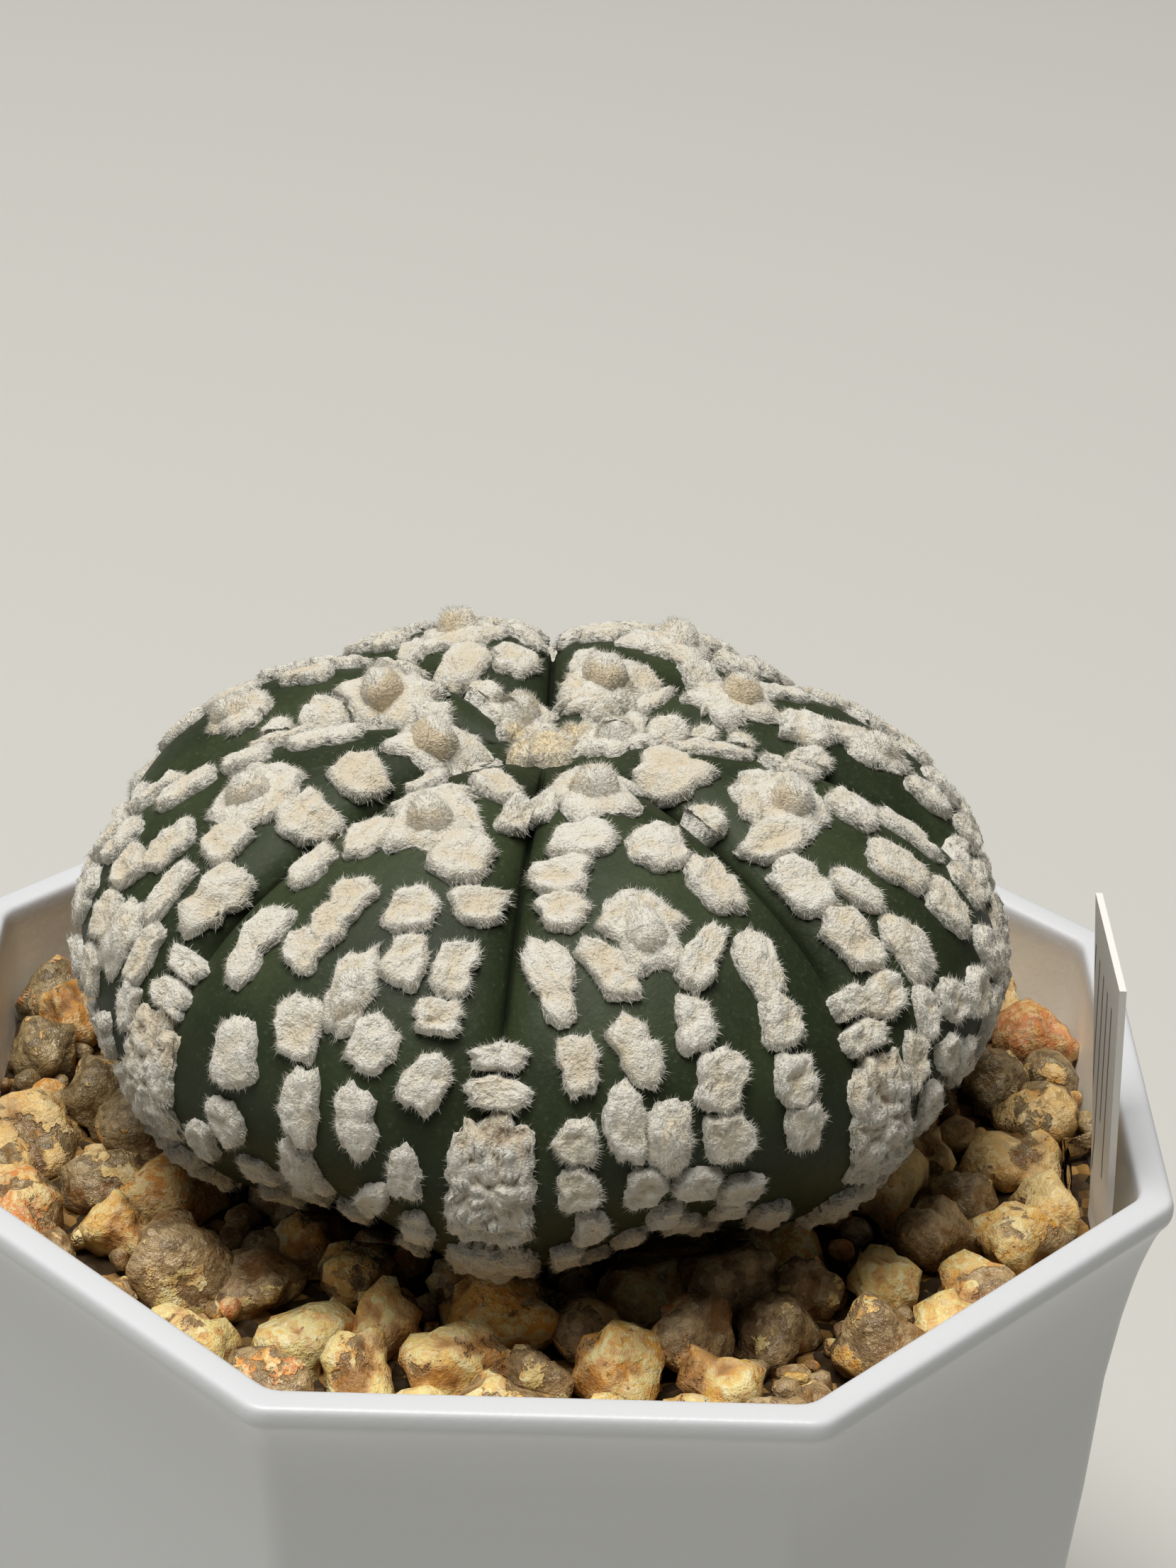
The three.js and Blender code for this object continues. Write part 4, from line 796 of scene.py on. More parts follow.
class Wire:
    """A value in a material's nodes, reckoned with as a number is."""

    def __init__(self, finish, socket):
        self.finish = finish
        self.socket = socket

    def _reckon(self, operation, first, second=None):
        values = {0: first} if second is None else {0: first, 1: second}
        return self.finish.node("ShaderNodeMath", {"operation": operation}, values)[0]

    def __add__(self, other):
        return self._reckon("ADD", self, other)

    def __radd__(self, other):
        return self._reckon("ADD", other, self)

    def __sub__(self, other):
        return self._reckon("SUBTRACT", self, other)

    def __rsub__(self, other):
        return self._reckon("SUBTRACT", other, self)

    def __mul__(self, other):
        return self._reckon("MULTIPLY", self, other)

    def __rmul__(self, other):
        return self._reckon("MULTIPLY", other, self)

    def __truediv__(self, other):
        return self._reckon("DIVIDE", self, other)

    def __abs__(self):
        return self._reckon("ABSOLUTE", self)

    def fraction(self):
        return self._reckon("FRACT", self)

    def above(self, other):
        return self._reckon("GREATER_THAN", self, other)

    def span(self, low, high):
        """0 below low and 1 above high, smooth between them."""
        settings = {"interpolation_type": "SMOOTHSTEP"}
        sockets = {"Value": self, "From Min": low, "From Max": high}
        return self.finish.node("ShaderNodeMapRange", settings, sockets)[0]


class Finish:
    """A material and the one way in which its nodes are made."""

    def __init__(self, name, roughness=0.5, specular=0.5):
        self.material = bpy.data.materials.new(name)
        self.material.use_nodes = True
        self.tree = self.material.node_tree
        self.tree.nodes.clear()
        self.surface = self.tree.nodes.new("ShaderNodeBsdfPrincipled")
        output = self.tree.nodes.new("ShaderNodeOutputMaterial")
        self.tree.links.new(self.surface.outputs[0], output.inputs[0])
        self.surface.inputs["Roughness"].default_value = roughness
        self.surface.inputs["Specular IOR Level"].default_value = specular

    def node(self, kind, settings=None, sockets=None):
        made = self.tree.nodes.new(kind)
        for key, value in (settings or {}).items():
            if key == "stops":
                ramp = made.color_ramp
                while len(ramp.elements) < len(value):
                    ramp.elements.new(0.5)
                for element, (at, tint) in zip(ramp.elements, value):
                    element.position = at
                    element.color = (*tint, 1)
            else:
                setattr(made, key, value)
        for key, value in (sockets or {}).items():
            self.feed(self.find(made.inputs, key), value)
        return [Wire(self, socket) for socket in made.outputs if socket.enabled]

    @staticmethod
    def find(sockets, key):
        if isinstance(key, int):
            return sockets[key]
        return next(s for s in sockets if key in (s.identifier, s.name) and s.enabled)

    def feed(self, socket, value):
        if isinstance(value, Wire):
            self.tree.links.new(value.socket, socket)
        elif hasattr(value, "__len__") and len(value) == 3 and socket.type == "RGBA":
            socket.default_value = (*value, 1)
        else:
            socket.default_value = value

    def set(self, name, value):
        self.feed(self.surface.inputs[name], value)

    def mix(self, share, first, second, blend="MIX"):
        settings = {"data_type": "RGBA", "blend_type": blend}
        sockets = {"Factor_Float": share, "A_Color": first, "B_Color": second}
        return self.node("ShaderNodeMix", settings, sockets)[0]

    def here(self):
        """Place on the object in metres."""
        return self.node("ShaderNodeTexCoord")[3]

    def tone(self, name):
        return self.node("ShaderNodeAttribute", {"attribute_name": name})[2]

    def clouds(self, scale, detail=2.0, rough=0.5, shift=None):
        """Soft noise, about 0.2 to 0.8. scale counts waves in a metre, shift tells one stone from another."""
        settings = {"noise_dimensions": "4D" if shift else "3D"}
        sockets = {"Vector": self.here(), "Scale": scale, "Detail": detail, "Roughness": rough}
        if shift:
            sockets["W"] = shift
        return self.node("ShaderNodeTexNoise", settings, sockets)[0]

    def grains(self, scale, shift=None):
        """Distance from the nearest grain's middle, and a colour drawn for each grain."""
        settings = {"voronoi_dimensions": "4D" if shift else "3D"}
        sockets = {"Vector": self.here(), "Scale": scale}
        if shift:
            sockets["W"] = shift
        return self.node("ShaderNodeTexVoronoi", settings, sockets)

    def bump(self, height, depth, strength):
        sockets = {"Strength": strength, "Distance": depth, "Height": height}
        return self.node("ShaderNodeBump", None, sockets)[0]

    def drawn_colour(self, colour):
        """Red, green and blue of a drawn colour, as three draws from 0 to 1."""
        return self.node("ShaderNodeSeparateColor", None, {"Color": colour})


def skin_finish(looks):
    """Dark olive skin with a fine mottled grain."""
    finish = Finish("cactus_skin", specular=0.22)
    cloud = finish.clouds(95, 3, 0.55).span(0.35, 0.68)
    fine = finish.clouds(2400, 3, 0.65)
    weave = finish.clouds(900, 4, 0.7)
    dots = (1 - finish.grains(1500)[0].span(0.1, 0.3)) * weave.span(0.45, 0.6)
    green = finish.mix(cloud, looks.skin_deep, looks.skin_mid)
    green = finish.mix(weave.span(0.35, 0.65) * 0.35, green, looks.skin_deep)
    green = finish.mix(dots * 0.35 + fine.span(0.5, 0.75) * 0.2, green, looks.skin_speck)
    # Painted shade: the skin low on the flank is darkened towards the crease colour
    green = finish.mix(finish.tone("old") * 0.55, green, looks.crease)
    # Painted shade darkens a thin line along the bottom of each crease
    finish.set("Base Color", finish.mix(finish.tone("crease"), green, looks.crease))
    finish.set("Roughness", 0.46 + 0.22 * fine + 0.5 * finish.tone("crease"))
    finish.set("Normal", finish.bump(fine + weave, 0.00009, 0.5))
    return finish.material


def felt_finish(name, looks, shade):
    """Felt that turns from its light colour to its shade colour as its tone rises, brown in its pits."""
    finish = Finish(name, roughness=0.95, specular=0.08)
    tone = finish.tone("tone")
    cloud = finish.clouds(900, 3, 0.6)
    fibre = finish.clouds(4800, 3, 0.65)
    share = (tone + 0.6 * (cloud - 0.5)).span(0.05, 0.95)
    base = finish.mix(share, looks.felt_white, shade)
    speck = finish.grains(620)
    black = (1 - speck[0].span(0.03, 0.07)) * finish.clouds(330, 1, 0.5).above(0.62)
    base = finish.mix(fibre.span(0.3, 0.75) * 0.15, base, looks.felt_cream)
    base = finish.mix(finish.tone("pit"), base, looks.felt_pit_brown)
    # Painted shade greys the felt low on the flank
    base = finish.mix(finish.tone("old") * 0.75, base, looks.felt_low_shade)
    finish.set("Base Color", finish.mix(black * 0.75, base, paint(96, 72, 48)))
    finish.set("Normal", finish.bump(fibre + 1.4 * cloud, 0.0003, 0.85))
    finish.set("Sheen Weight", 0.2)
    finish.set("Sheen Roughness", 0.6)
    return finish.material


def stone_finish(name, looks):
    """Weathered granite grit: grey-brown quartz under a broken cream, ochre or rusty crust, stained gold."""
    finish = Finish(name, specular=0.5)
    each = finish.tone("stone")
    deep = finish.tone("deep")
    shift = each * 61.0
    stops = [
        (0.0, looks.cream), (0.22, looks.ochre), (0.42, looks.cream),
        (0.6, looks.ochre), (0.8, looks.gold), (0.92, looks.rust),
    ]
    crust_kind = finish.node("ShaderNodeValToRGB", {"stops": stops}, {"Fac": each})[0]
    blotch = finish.clouds(300, 4, 0.6, shift)
    spots = finish.clouds(760, 4, 0.65, shift)
    grit = finish.clouds(1900, 3, 0.7, shift)
    crust = finish.mix(blotch.span(0.46, 0.6) * 0.6, crust_kind, looks.gold)
    crust = finish.mix(spots.span(0.5, 0.58) * 0.75, crust, looks.cream)
    # Painted highlight: pale specks of grit on the crust, kept out of the clefts
    crust = finish.mix((grit - 0.25 * deep).span(0.42, 0.52) * 0.45, crust, paint(236, 210, 152))
    crystal = finish.grains(1500, shift)
    drawn = finish.drawn_colour(crystal[1])
    crust = finish.mix(drawn[0].span(0.4, 1.0) * 0.3, crust, paint(242, 224, 182))
    crust = finish.mix(drawn[1].span(0.4, 1.0) * 0.3, crust, looks.gold)
    crust = finish.mix(drawn[2].span(0.6, 1.0) * 0.35, crust, looks.quartz)
    # Painted shade darkens the clefts of the crust
    crust = finish.mix(deep.span(0.5, 0.9) * 0.75, crust, looks.cleft)
    pale = finish.mix(spots.span(0.38, 0.6), paint(154, 132, 92), looks.quartz)
    pale = finish.mix(drawn[0].span(0.5, 1.0) * 0.35, pale, paint(206, 186, 142))
    # Painted shade darkens the clefts of the glassy parts too
    pale = finish.mix(deep.span(0.6, 0.95) * 0.7, pale, looks.cleft)
    glassy = finish.clouds(310, 5, 0.65, shift) + 0.32 * (each * 7.3).fraction() - 0.16 + 0.2 * (deep - 0.5)
    glassy = glassy.span(0.49, 0.53)
    base = finish.mix(glassy, crust, pale)
    pits = finish.clouds(1300, 2, 0.5, shift).span(0.68, 0.72)
    base = finish.mix(pits * 0.6, base, paint(62, 44, 22))
    # Painted light: stones at the front of the pot are made paler, standing in for the light that reaches
    # them
    finish.set("Base Color", finish.mix(finish.tone("front") * 0.5, base, (1, 0.94, 1), "OVERLAY"))
    finish.set("Roughness", 0.6 - 0.34 * glassy)
    relief = 0.9 * spots + 0.5 * grit - 0.3 * glassy + 0.25 * drawn[1]
    finish.set("Normal", finish.bump(relief, 0.0006, 0.85))
    return finish.material


def bed_finish(looks):
    """Dark fines with a few ochre grains."""
    finish = Finish("bed_fines", specular=0.3)
    grain = finish.grains(900)
    tone = finish.drawn_colour(grain[1])[0]
    finish.set("Base Color", finish.mix(tone.span(0.5, 1.0) * 0.5, looks.bed, looks.ochre))
    finish.set("Roughness", 0.8 - 0.2 * tone)
    finish.set("Normal", finish.bump(grain[0], 0.0008, 0.9))
    return finish.material


def plastic_finish(looks):
    """White plastic, warmer inside, with faint waves and specks of dust."""
    finish = Finish("pot_plastic", specular=0.45)
    broad = finish.clouds(38, 2, 0.5)
    fine = finish.clouds(1400, 3, 0.6)
    specks = (1 - finish.grains(150)[0].span(0.02, 0.05)) * finish.clouds(70, 1, 0.5).above(0.6)
    white = finish.mix(finish.tone("inside"), looks.plastic, looks.inside)
    finish.set("Base Color", finish.mix(specks * 0.55, white, looks.dust))
    finish.set("Roughness", 0.3 + 0.1 * broad + 0.08 * fine)
    finish.set("Normal", finish.bump(fine + 5 * broad, 0.00005, 0.5))
    return finish.material


def card_finish(looks):
    """White card with plain ruled lines down its length."""
    finish = Finish("label_card", specular=0.3)
    x, y, z = finish.node("ShaderNodeSeparateXYZ", None, {"Vector": finish.here()})
    low, high = LABEL_BOX[0].y * MM, LABEL_BOX[1].y * MM
    share = (y - low) / looks.line_pitch + 0.1
    line = 1 - abs(share.fraction() - 0.5).span(0.09, 0.13)
    end = ((share - share.fraction()) * 0.618).fraction() * 0.009
    inner = (y - low).span(0.0012, 0.0014) * (1 - (y - high).span(-0.0014, -0.0012))
    under = z - LABEL_BOX[1].z * MM
    inner = inner * (1 - under.span(-0.0034, -0.0032)) * (under + end).span(-0.0122, -0.012)
    normal = finish.node("ShaderNodeNewGeometry")[1]
    face = abs(finish.node("ShaderNodeSeparateXYZ", None, {"Vector": normal})[0])
    fibre = finish.clouds(1800, 3, 0.6)
    white = finish.mix(fibre * 0.15, looks.card, paint(205, 200, 190))
    finish.set("Base Color", finish.mix(line * inner * face.above(0.8) * 0.85, white, looks.line))
    finish.set("Roughness", 0.5 + 0.15 * fibre)
    finish.set("Normal", finish.bump(fibre, 0.00004, 0.5))
    return finish.material


def floor_finish(looks):
    """Plain pale floor."""
    finish = Finish("pale_floor", specular=0.1, roughness=0.9)
    finish.set("Base Color", finish.mix(finish.clouds(6, 2, 0.5) * 0.08, looks.floor, paint(200, 198, 190)))
    finish.set("Normal", finish.bump(finish.clouds(900, 2, 0.5), 0.0001, 0.2))
    return finish.material


def octagon_ring(apothem, z, steps=8, flats=14):
    """Outline of an octagon with rounded corners, four of its flats square to the X and Y axes."""
    ring = []
    reach = (apothem - CORNER_RADIUS) / math.cos(22.5 * DEG)
    arcs = []
    for k in range(8):
        middle = (22.5 + 45 * k) * DEG
        x, y = reach * math.cos(middle), reach * math.sin(middle)
        arcs.append([
            (x + CORNER_RADIUS * math.cos(a), y + CORNER_RADIUS * math.sin(a))
            for a in (middle + (i / steps - 0.5) * 45 * DEG for i in range(steps + 1))
        ])
    for k in range(8):
        ring += arcs[k]
        (ax, ay), (bx, by) = arcs[k][-1], arcs[(k + 1) % 8][0]
        for i in range(1, flats):
            share = 0.5 - 0.5 * math.cos(math.pi * i / flats)
            ring.append((ax + share * (bx - ax), ay + share * (by - ay)))
    return np.array([(x, y, z) for x, y in ring])


def stack_of_rings(rings):
    """Skin over a stack of rings with equal counts, closed by a fan at each end."""
    count = len(rings[0])
    points = np.concatenate([*rings, [rings[0].mean(0)], [rings[-1].mean(0)]])
    faces = []
    for r in range(len(rings) - 1):
        for i in range(count):
            a, b = r * count + i, r * count + (i + 1) % count
            faces.append((a, b, b + count, a + count))
    first = len(rings) * count
    last = (len(rings) - 1) * count
    for i in range(count):
        j = (i + 1) % count
        faces.append((first, j, i))
        faces.append((first + 1, last + i, last + j))
    return points, faces


# Outer wall as apothem against depth under the rim, first under the rolled rim, then down to the foot
NECK_PROFILE = [(43.3, 6.0), (42.8, 8.8)]
WALL_PROFILE = [(42.45, 11.0), (41.8, 16.7), (41.3, 27.0), (40.73, 34.7), (37.6, POT_HEIGHT - 1.0)]


def wall_apothem(depth):
    apothems, depths = zip(*NECK_PROFILE, *WALL_PROFILE)
    return np.interp(depth, depths, apothems)


def flat_reach(x, y):
    """How far out points lie, as the apothem of the octagon through them."""
    return np.maximum(np.maximum(np.abs(x), np.abs(y)), (np.abs(x) + np.abs(y)) / math.sqrt(2))


def softened(rows):
    """A profile with each corner cut twice, so that it reads as moulded."""
    for _ in range(2):
        cut = [rows[0]]
        for (a, b), (c, d) in zip(rows, rows[1:]):
            cut.append((a + 0.25 * (c - a), b + 0.25 * (d - b)))
            cut.append((c - 0.25 * (c - a), d - 0.25 * (d - b)))
        rows = [*cut, rows[-1]]
    return rows


def make_shell(burr):
    """The pot's wall, rolled rim and floor, with flash under the rim and a mark on what faces inwards."""
    outside = [(36.8, POT_HEIGHT), *WALL_PROFILE[::-1]]
    rim = softened([
        WALL_PROFILE[0], *NECK_PROFILE[::-1], (44.25, 2.6), (44.98, 1.6), (RIM_APOTHEM, 0.75), (44.8, 0.1),
        (44.1, 0), (43.3, 0), (42.65, 0.1), (42.45, 0.8), (42.4, 2.4), (42.1, 6.0), (41.35, 11.0),
    ])
    inside = [(apothem - WALL, depth) for apothem, depth in WALL_PROFILE[1:4]]
    for less, depth in ((0, POT_HEIGHT - FLOOR - 1.2), (1, POT_HEIGHT - FLOOR)):
        inside.append((wall_apothem(depth) - WALL - less, depth))
    rows = [*outside, *rim[1:], *inside]
    rings = [octagon_ring(apothem, POT_HEIGHT - depth) for apothem, depth in rows]
    for (apothem, depth), ring in zip(rows, rings):
        share = math.exp(-(((depth - 2.7) / 0.8) ** 2)) * (apothem > 43.5)
        if share > 0.02:
            tear = np.clip(lumps(ring * [1, 1, 0], 0.75, 5.0) - 0.12, 0, 1) * 2.2
            ring[:, 2] -= burr * 2 * share * (tear + 0.3 * lumps(ring, 2.5, 1.0))
    points, faces = stack_of_rings(rings)
    lip = min(range(len(rows)), key=lambda i: rows[i][1])
    turned_in = [smooth(0.2, 2.2, depth) * (i > lip) for i, (_, depth) in enumerate(rows)]
    return points, faces, {"inside": np.concatenate([np.repeat(turned_in, len(rings[0])), [0, 1]])}


def bore_drains(pot, context):
    """Drainage holes through the pot's floor."""
    bores = []
    for k in range(DRAIN_COUNT):
        angle = (45 + 90 * k) * DEG
        place = Vector((DRAIN_RING * math.cos(angle), DRAIN_RING * math.sin(angle), 0.5)) * MM
        radius = DRAIN_RADIUS * MM
        shape = bmesh.new()
        bmesh.ops.create_cone(
            shape, cap_ends=True, segments=32, radius1=radius, radius2=radius, depth=6 * MM,
            matrix=Matrix.Translation(place),
        )
        bore_mesh = bpy.data.meshes.new("bore")
        shape.to_mesh(bore_mesh)
        shape.free()
        bores.append(bpy.data.objects.new("bore", bore_mesh))
        context.scene.collection.objects.link(bores[-1])
        hole = pot.modifiers.new("hole", "BOOLEAN")
        hole.operation = "DIFFERENCE"
        hole.object = bores[-1]
    context.view_layer.update()
    bored = bpy.data.meshes.new_from_object(pot.evaluated_get(context.evaluated_depsgraph_get()))
    pot.modifiers.clear()
    pot.data = bored
    bored.set_sharp_from_angle(angle=40 * DEG)
    for bore in bores:
        bpy.data.objects.remove(bore)


def bank_at(x, y):
    """How far the gravel is banked up from the plant's foot towards the walls, in mm."""
    return BANK_HEIGHT * smooth(14, 27, np.hypot(x, y))


def make_stone_places():
    """Where the stones lie: the part's seeded, nudged grid, clear of the plant's foot."""
    draw = Draw(STONE_SEED)
    stones = []
    wall = wall_apothem(8) - WALL - GAP
    rows = math.ceil(wall / (STONE_PITCH * ROW_RISE))
    for j in range(-rows, rows + 1):
        for i in range(-rows, rows + 1):
            size = STONE_SIZE[0] + (STONE_SIZE[1] - STONE_SIZE[0]) * draw()
            x = (i + 0.5 * (abs(j) % 2) + 0.4 * (draw() - 0.5)) * STONE_PITCH
            y = (j * ROW_RISE + 0.4 * (draw() - 0.5)) * STONE_PITCH
            rise = 2.8 * draw() - 1.4
            edge = flat_reach(x, y)
            press = min((wall - 0.4 * size) / max(edge, 1), 1)
            x *= press
            y *= press
            apart = all(math.hypot(ox - x, oy - y) > 0.29 * (other + size) for ox, oy, _, other in stones)
            if edge < wall + 2 and math.hypot(x - BODY_X, y) > 16 + 0.2 * size and apart:
                z = min(STONE_LEVEL + rise - 0.36 * size, BED_LEVEL - 0.6 + 0.34 * size)
                stones.append((x, y, z + bank_at(x, y), size))
    return stones


def stone_corners(draw, size):
    """Corner points of one stone, as the part draws them."""
    squash = np.array([0.86 + 0.28 * draw(), 0.74 + 0.24 * draw(), 0.62 + 0.24 * draw()])
    a, b, c = 0.7 * draw(), 0.7 * draw(), FULL_TURN * draw()
    turn = Matrix.Rotation(a, 3, "X") @ Matrix.Rotation(b, 3, "Y") @ Matrix.Rotation(c, 3, "Z")
    points = []
    for i in range(STONE_SIDES):
        z = 1 - 2 * (i + 0.5) / STONE_SIDES
        angle = i * TURN_STEP + 0.9 * draw()
        flat = math.sqrt(1 - z * z)
        r = size / 2 * (0.84 + 0.26 * draw())
        corner = np.array([flat * math.cos(angle), flat * math.sin(angle), z]) * squash * r
        points.append(list(turn @ Vector(corner)))
    return np.array(points)


def planes_of(points):
    """Outward unit normals and distances of the hull's faces, seen from the points' middle."""
    middle = points.mean(0)
    count = len(points)
    normals, reaches = [], []
    for i in range(count):
        for j in range(i + 1, count):
            for k in range(j + 1, count):
                n = np.cross(points[j] - points[i], points[k] - points[i])
                size = np.linalg.norm(n)
                if size < 1e-9:
                    continue
                n = n / size
                side = (points - points[i]) @ n
                if side.max() < 1e-6 or side.min() > -1e-6:
                    n = n if side.max() < 1e-6 else -n
                    normals.append(n)
                    reaches.append(float((points[i] - middle) @ n))
    return middle, np.array(normals), np.array(reaches)


def ball(level):
    """Directions and triangles of an even ball."""
    shape = bmesh.new()
    bmesh.ops.create_icosphere(shape, subdivisions=level, radius=1)
    points = np.array([v.co[:] for v in shape.verts])
    faces = np.array([[v.index for v in f.verts] for f in shape.faces])
    shape.free()
    return unit(points), faces


def kept_in_place(points):
    """Stone points held inside the wall, under the plant and clear of the label."""
    x, y, z = points.T.copy()
    wall = wall_apothem(POT_HEIGHT - z) - WALL - 0.12
    press = np.minimum(wall / np.maximum(flat_reach(x, y), 1e-6), 1)
    x, y = x * press, y * press
    beside = (np.abs(y - (LABEL_BOX[0].y + LABEL_BOX[1].y) / 2) < LABEL_ROOM) & (x > LABEL_SIDE)
    x = np.where(beside, np.minimum(x, LABEL_BOX[0].x - 0.25), x)
    radius = np.hypot(x - BODY_X, y)
    lower = THETAS > math.pi / 2
    under = BODY_MIDDLE + np.interp(radius, OUTLINE_R[lower][::-1], OUTLINE_Z[lower][::-1]) - 1.75
    z = np.where(radius < BODY_RADIUS - 1, np.minimum(z, under), z)
    return np.stack([x, y, z], 1)


def craggy(points, ways, relief, shift, kind, spot):
    """A stone's points with grains and clefts, set in place, with its kind and how deep each point lies."""
    chip = smooth(-0.08, 0.08, lumps(points, 0.32, shift + 5)) - 0.5
    rough = 0.6 * lumps(points, 0.3, shift) + 0.9 * chip + 0.9 * (0.5 - cells(points, 0.6, shift))
    rough = rough + 0.8 * lumps(points, 0.9, shift) + 0.7 * lumps(points, 2.0, shift)
    moved = kept_in_place(points + ways * (relief * rough)[:, None] + np.array(spot))
    # How far to the front of the pot a stone lies, for the painted light on the front stones
    front = smooth(0, 0.7, -spot[1] / max(math.hypot(spot[0], spot[1]), 1))
    # How deep each point lies, which the finish uses for painted shade in the clefts
    deep = np.clip(0.5 - 0.45 * rough, 0, 1)
    return moved, {"stone": np.full(len(points), kind), "deep": deep, "front": np.full(len(points), front)}


def make_stones(places, extra, relief, spread):
    """Large stones: the rounded hull of each stone's corners, with some more corners chipped off flat."""
    draw = Draw(STONE_SEED + 1)
    ways, triangles = ball(3)
    meshes = []
    for x, y, z, size in places:
        middle, normals, reaches = planes_of(stone_corners(draw, size))
        facing = np.clip(ways @ normals.T / reaches, 0, None) ** EDGE_POWER
        mean = (facing.sum(1) ** (-1 / EDGE_POWER)).mean()
        chips = unit(extra.spread(3 * CHIPS, -1, 1).reshape(-1, 3))
        cuts = np.clip(ways @ chips.T / (mean * extra.spread(CHIPS, 0.96, 1.12)), 0, None) ** EDGE_POWER
        reach = (facing.sum(1) + cuts.sum(1)) ** (-1 / EDGE_POWER) * spread
        spot = middle + [x, y, z]
        points, marks = craggy(ways * reach[:, None], ways, relief, extra() * 90, extra(), spot)
        meshes.append((points, triangles, marks))
    return meshes


def make_grit(places, extra, relief, tries):
    """Smaller grit that fills the gaps between the stones, down on the bed."""
    ways, triangles = ball(2)
    meshes, taken = [], [(x, y, size) for x, y, _, size in places]
    for _ in range(tries):
        angle, away = extra() * 2 * math.pi, 14 + 28 * math.sqrt(extra())
        size = 1.6 + 3.6 * extra() ** 2
        x, y = away * math.cos(angle), away * math.sin(angle)
        clear = all(math.hypot(x - ox, y - oy) > 0.36 * (other + size) for ox, oy, other in taken)
        turn = Matrix.Rotation(extra() * FULL_TURN, 3, "Z") @ Matrix.Rotation(extra() * 1.2, 3, "X")
        turn = np.array(turn).T
        shape = np.array([0.8 + 0.5 * extra(), 0.7 + 0.4 * extra(), 0.6 + 0.4 * extra()]) * size / 2
        shift, kind = extra() * 90, extra()
        if clear:
            taken.append((x, y, size))
            z = BED_LEVEL + 0.28 * size + 0.5 * kind + bank_at(x, y)
            points, marks = craggy((ways * shape) @ turn, ways @ turn, relief, shift, kind, (x, y, z))
            meshes.append((points, triangles, marks))
    return meshes


def make_bed():
    """Fines that fill the pot from its floor up to the stones, banked and lumpy on top."""
    depths = [*np.linspace(POT_HEIGHT - FLOOR - GAP, 12, 8), POT_HEIGHT - BED_LEVEL]
    inset = WALL + GAP * 0.5
    walls = [octagon_ring(wall_apothem(depth) - inset, POT_HEIGHT - depth, 3, 9) for depth in depths]
    under = [walls[0] * [share, share, 1] for share in (0.05, 0.3, 0.55, 0.8)]
    for ring in under:
        ring[:, 2] += 0.5 * (1 - cells(ring, 0.5, 9.0))
    top = [walls[-1] * [share, share, 1] for share in np.linspace(0.96, 0.04, 30)]
    walls[-1][:, 2] += bank_at(*walls[-1][:, :2].T)
    for ring in top:
        ring[:, 2] += bank_at(*ring[:, :2].T)
        ring[:, 2] += 0.7 * lumps(ring, 0.5, 4.0) - 0.6 * cells(ring, 0.8, 2.0) + 0.2
    return *stack_of_rings([*under, *walls, *top]), {}


def set_floor(scene, looks):
    """Round floor, a little under the pot's foot."""
    shape = bmesh.new()
    bmesh.ops.create_circle(shape, cap_ends=True, segments=96, radius=3.0)
    floor_mesh = bpy.data.meshes.new("floor")
    shape.to_mesh(floor_mesh)
    shape.free()
    floor_mesh.materials.append(floor_finish(looks))
    floor = bpy.data.objects.new("floor", floor_mesh)
    scene.collection.objects.link(floor)
    floor.location.z = -0.0002


def set_lights(scene, looks):
    """Soft light from all round, a large lamp above and a weak one at the side."""
    world = bpy.data.worlds.new("soft_fill")
    world.use_nodes = True
    sky = world.node_tree.nodes["Background"]
    sky.inputs["Color"].default_value = (*looks.sky, 1)
    sky.inputs["Strength"].default_value = looks.sky_strength
    scene.world = world
    target = Vector((0, 0, POT_HEIGHT * MM))
    for name, (share, size, place, tint) in LIGHTS.items():
        lamp = bpy.data.lights.new(name, "AREA")
        lamp.energy = looks.key_power * share
        lamp.size = size
        lamp.color = tint
        light = bpy.data.objects.new(name, lamp)
        light.location = place
        light.rotation_mode = "QUATERNION"
        light.rotation_quaternion = (target - light.location).to_track_quat("-Z", "Y")
        scene.collection.objects.link(light)


def set_camera(scene):
    """Camera at the photograph's viewing angle."""
    level = math.cos(PITCH)
    forward = Vector((math.sin(YAW) * level, math.cos(YAW) * level, -math.sin(PITCH)))
    right = Vector((math.cos(YAW), -math.sin(YAW), 0))
    up = right.cross(forward)
    rolled = math.cos(ROLL) * right + math.sin(ROLL) * up
    up = -math.sin(ROLL) * right + math.cos(ROLL) * up
    lens = bpy.data.cameras.new("photo_camera")
    lens.sensor_fit = "VERTICAL"
    lens.sensor_height = SENSOR
    lens.lens = LENS
    lens.clip_start = 0.01
    lens.clip_end = 20
    camera = bpy.data.objects.new("photo_camera", lens)
    scene.collection.objects.link(camera)
    place = Matrix((rolled, up, -forward)).transposed().to_4x4()
    place.translation = CAMERA_PLACE
    camera.matrix_world = place
    scene.camera = camera


def looks_of(context):
    return [getattr(context.scene, key) for key in GROUPS]


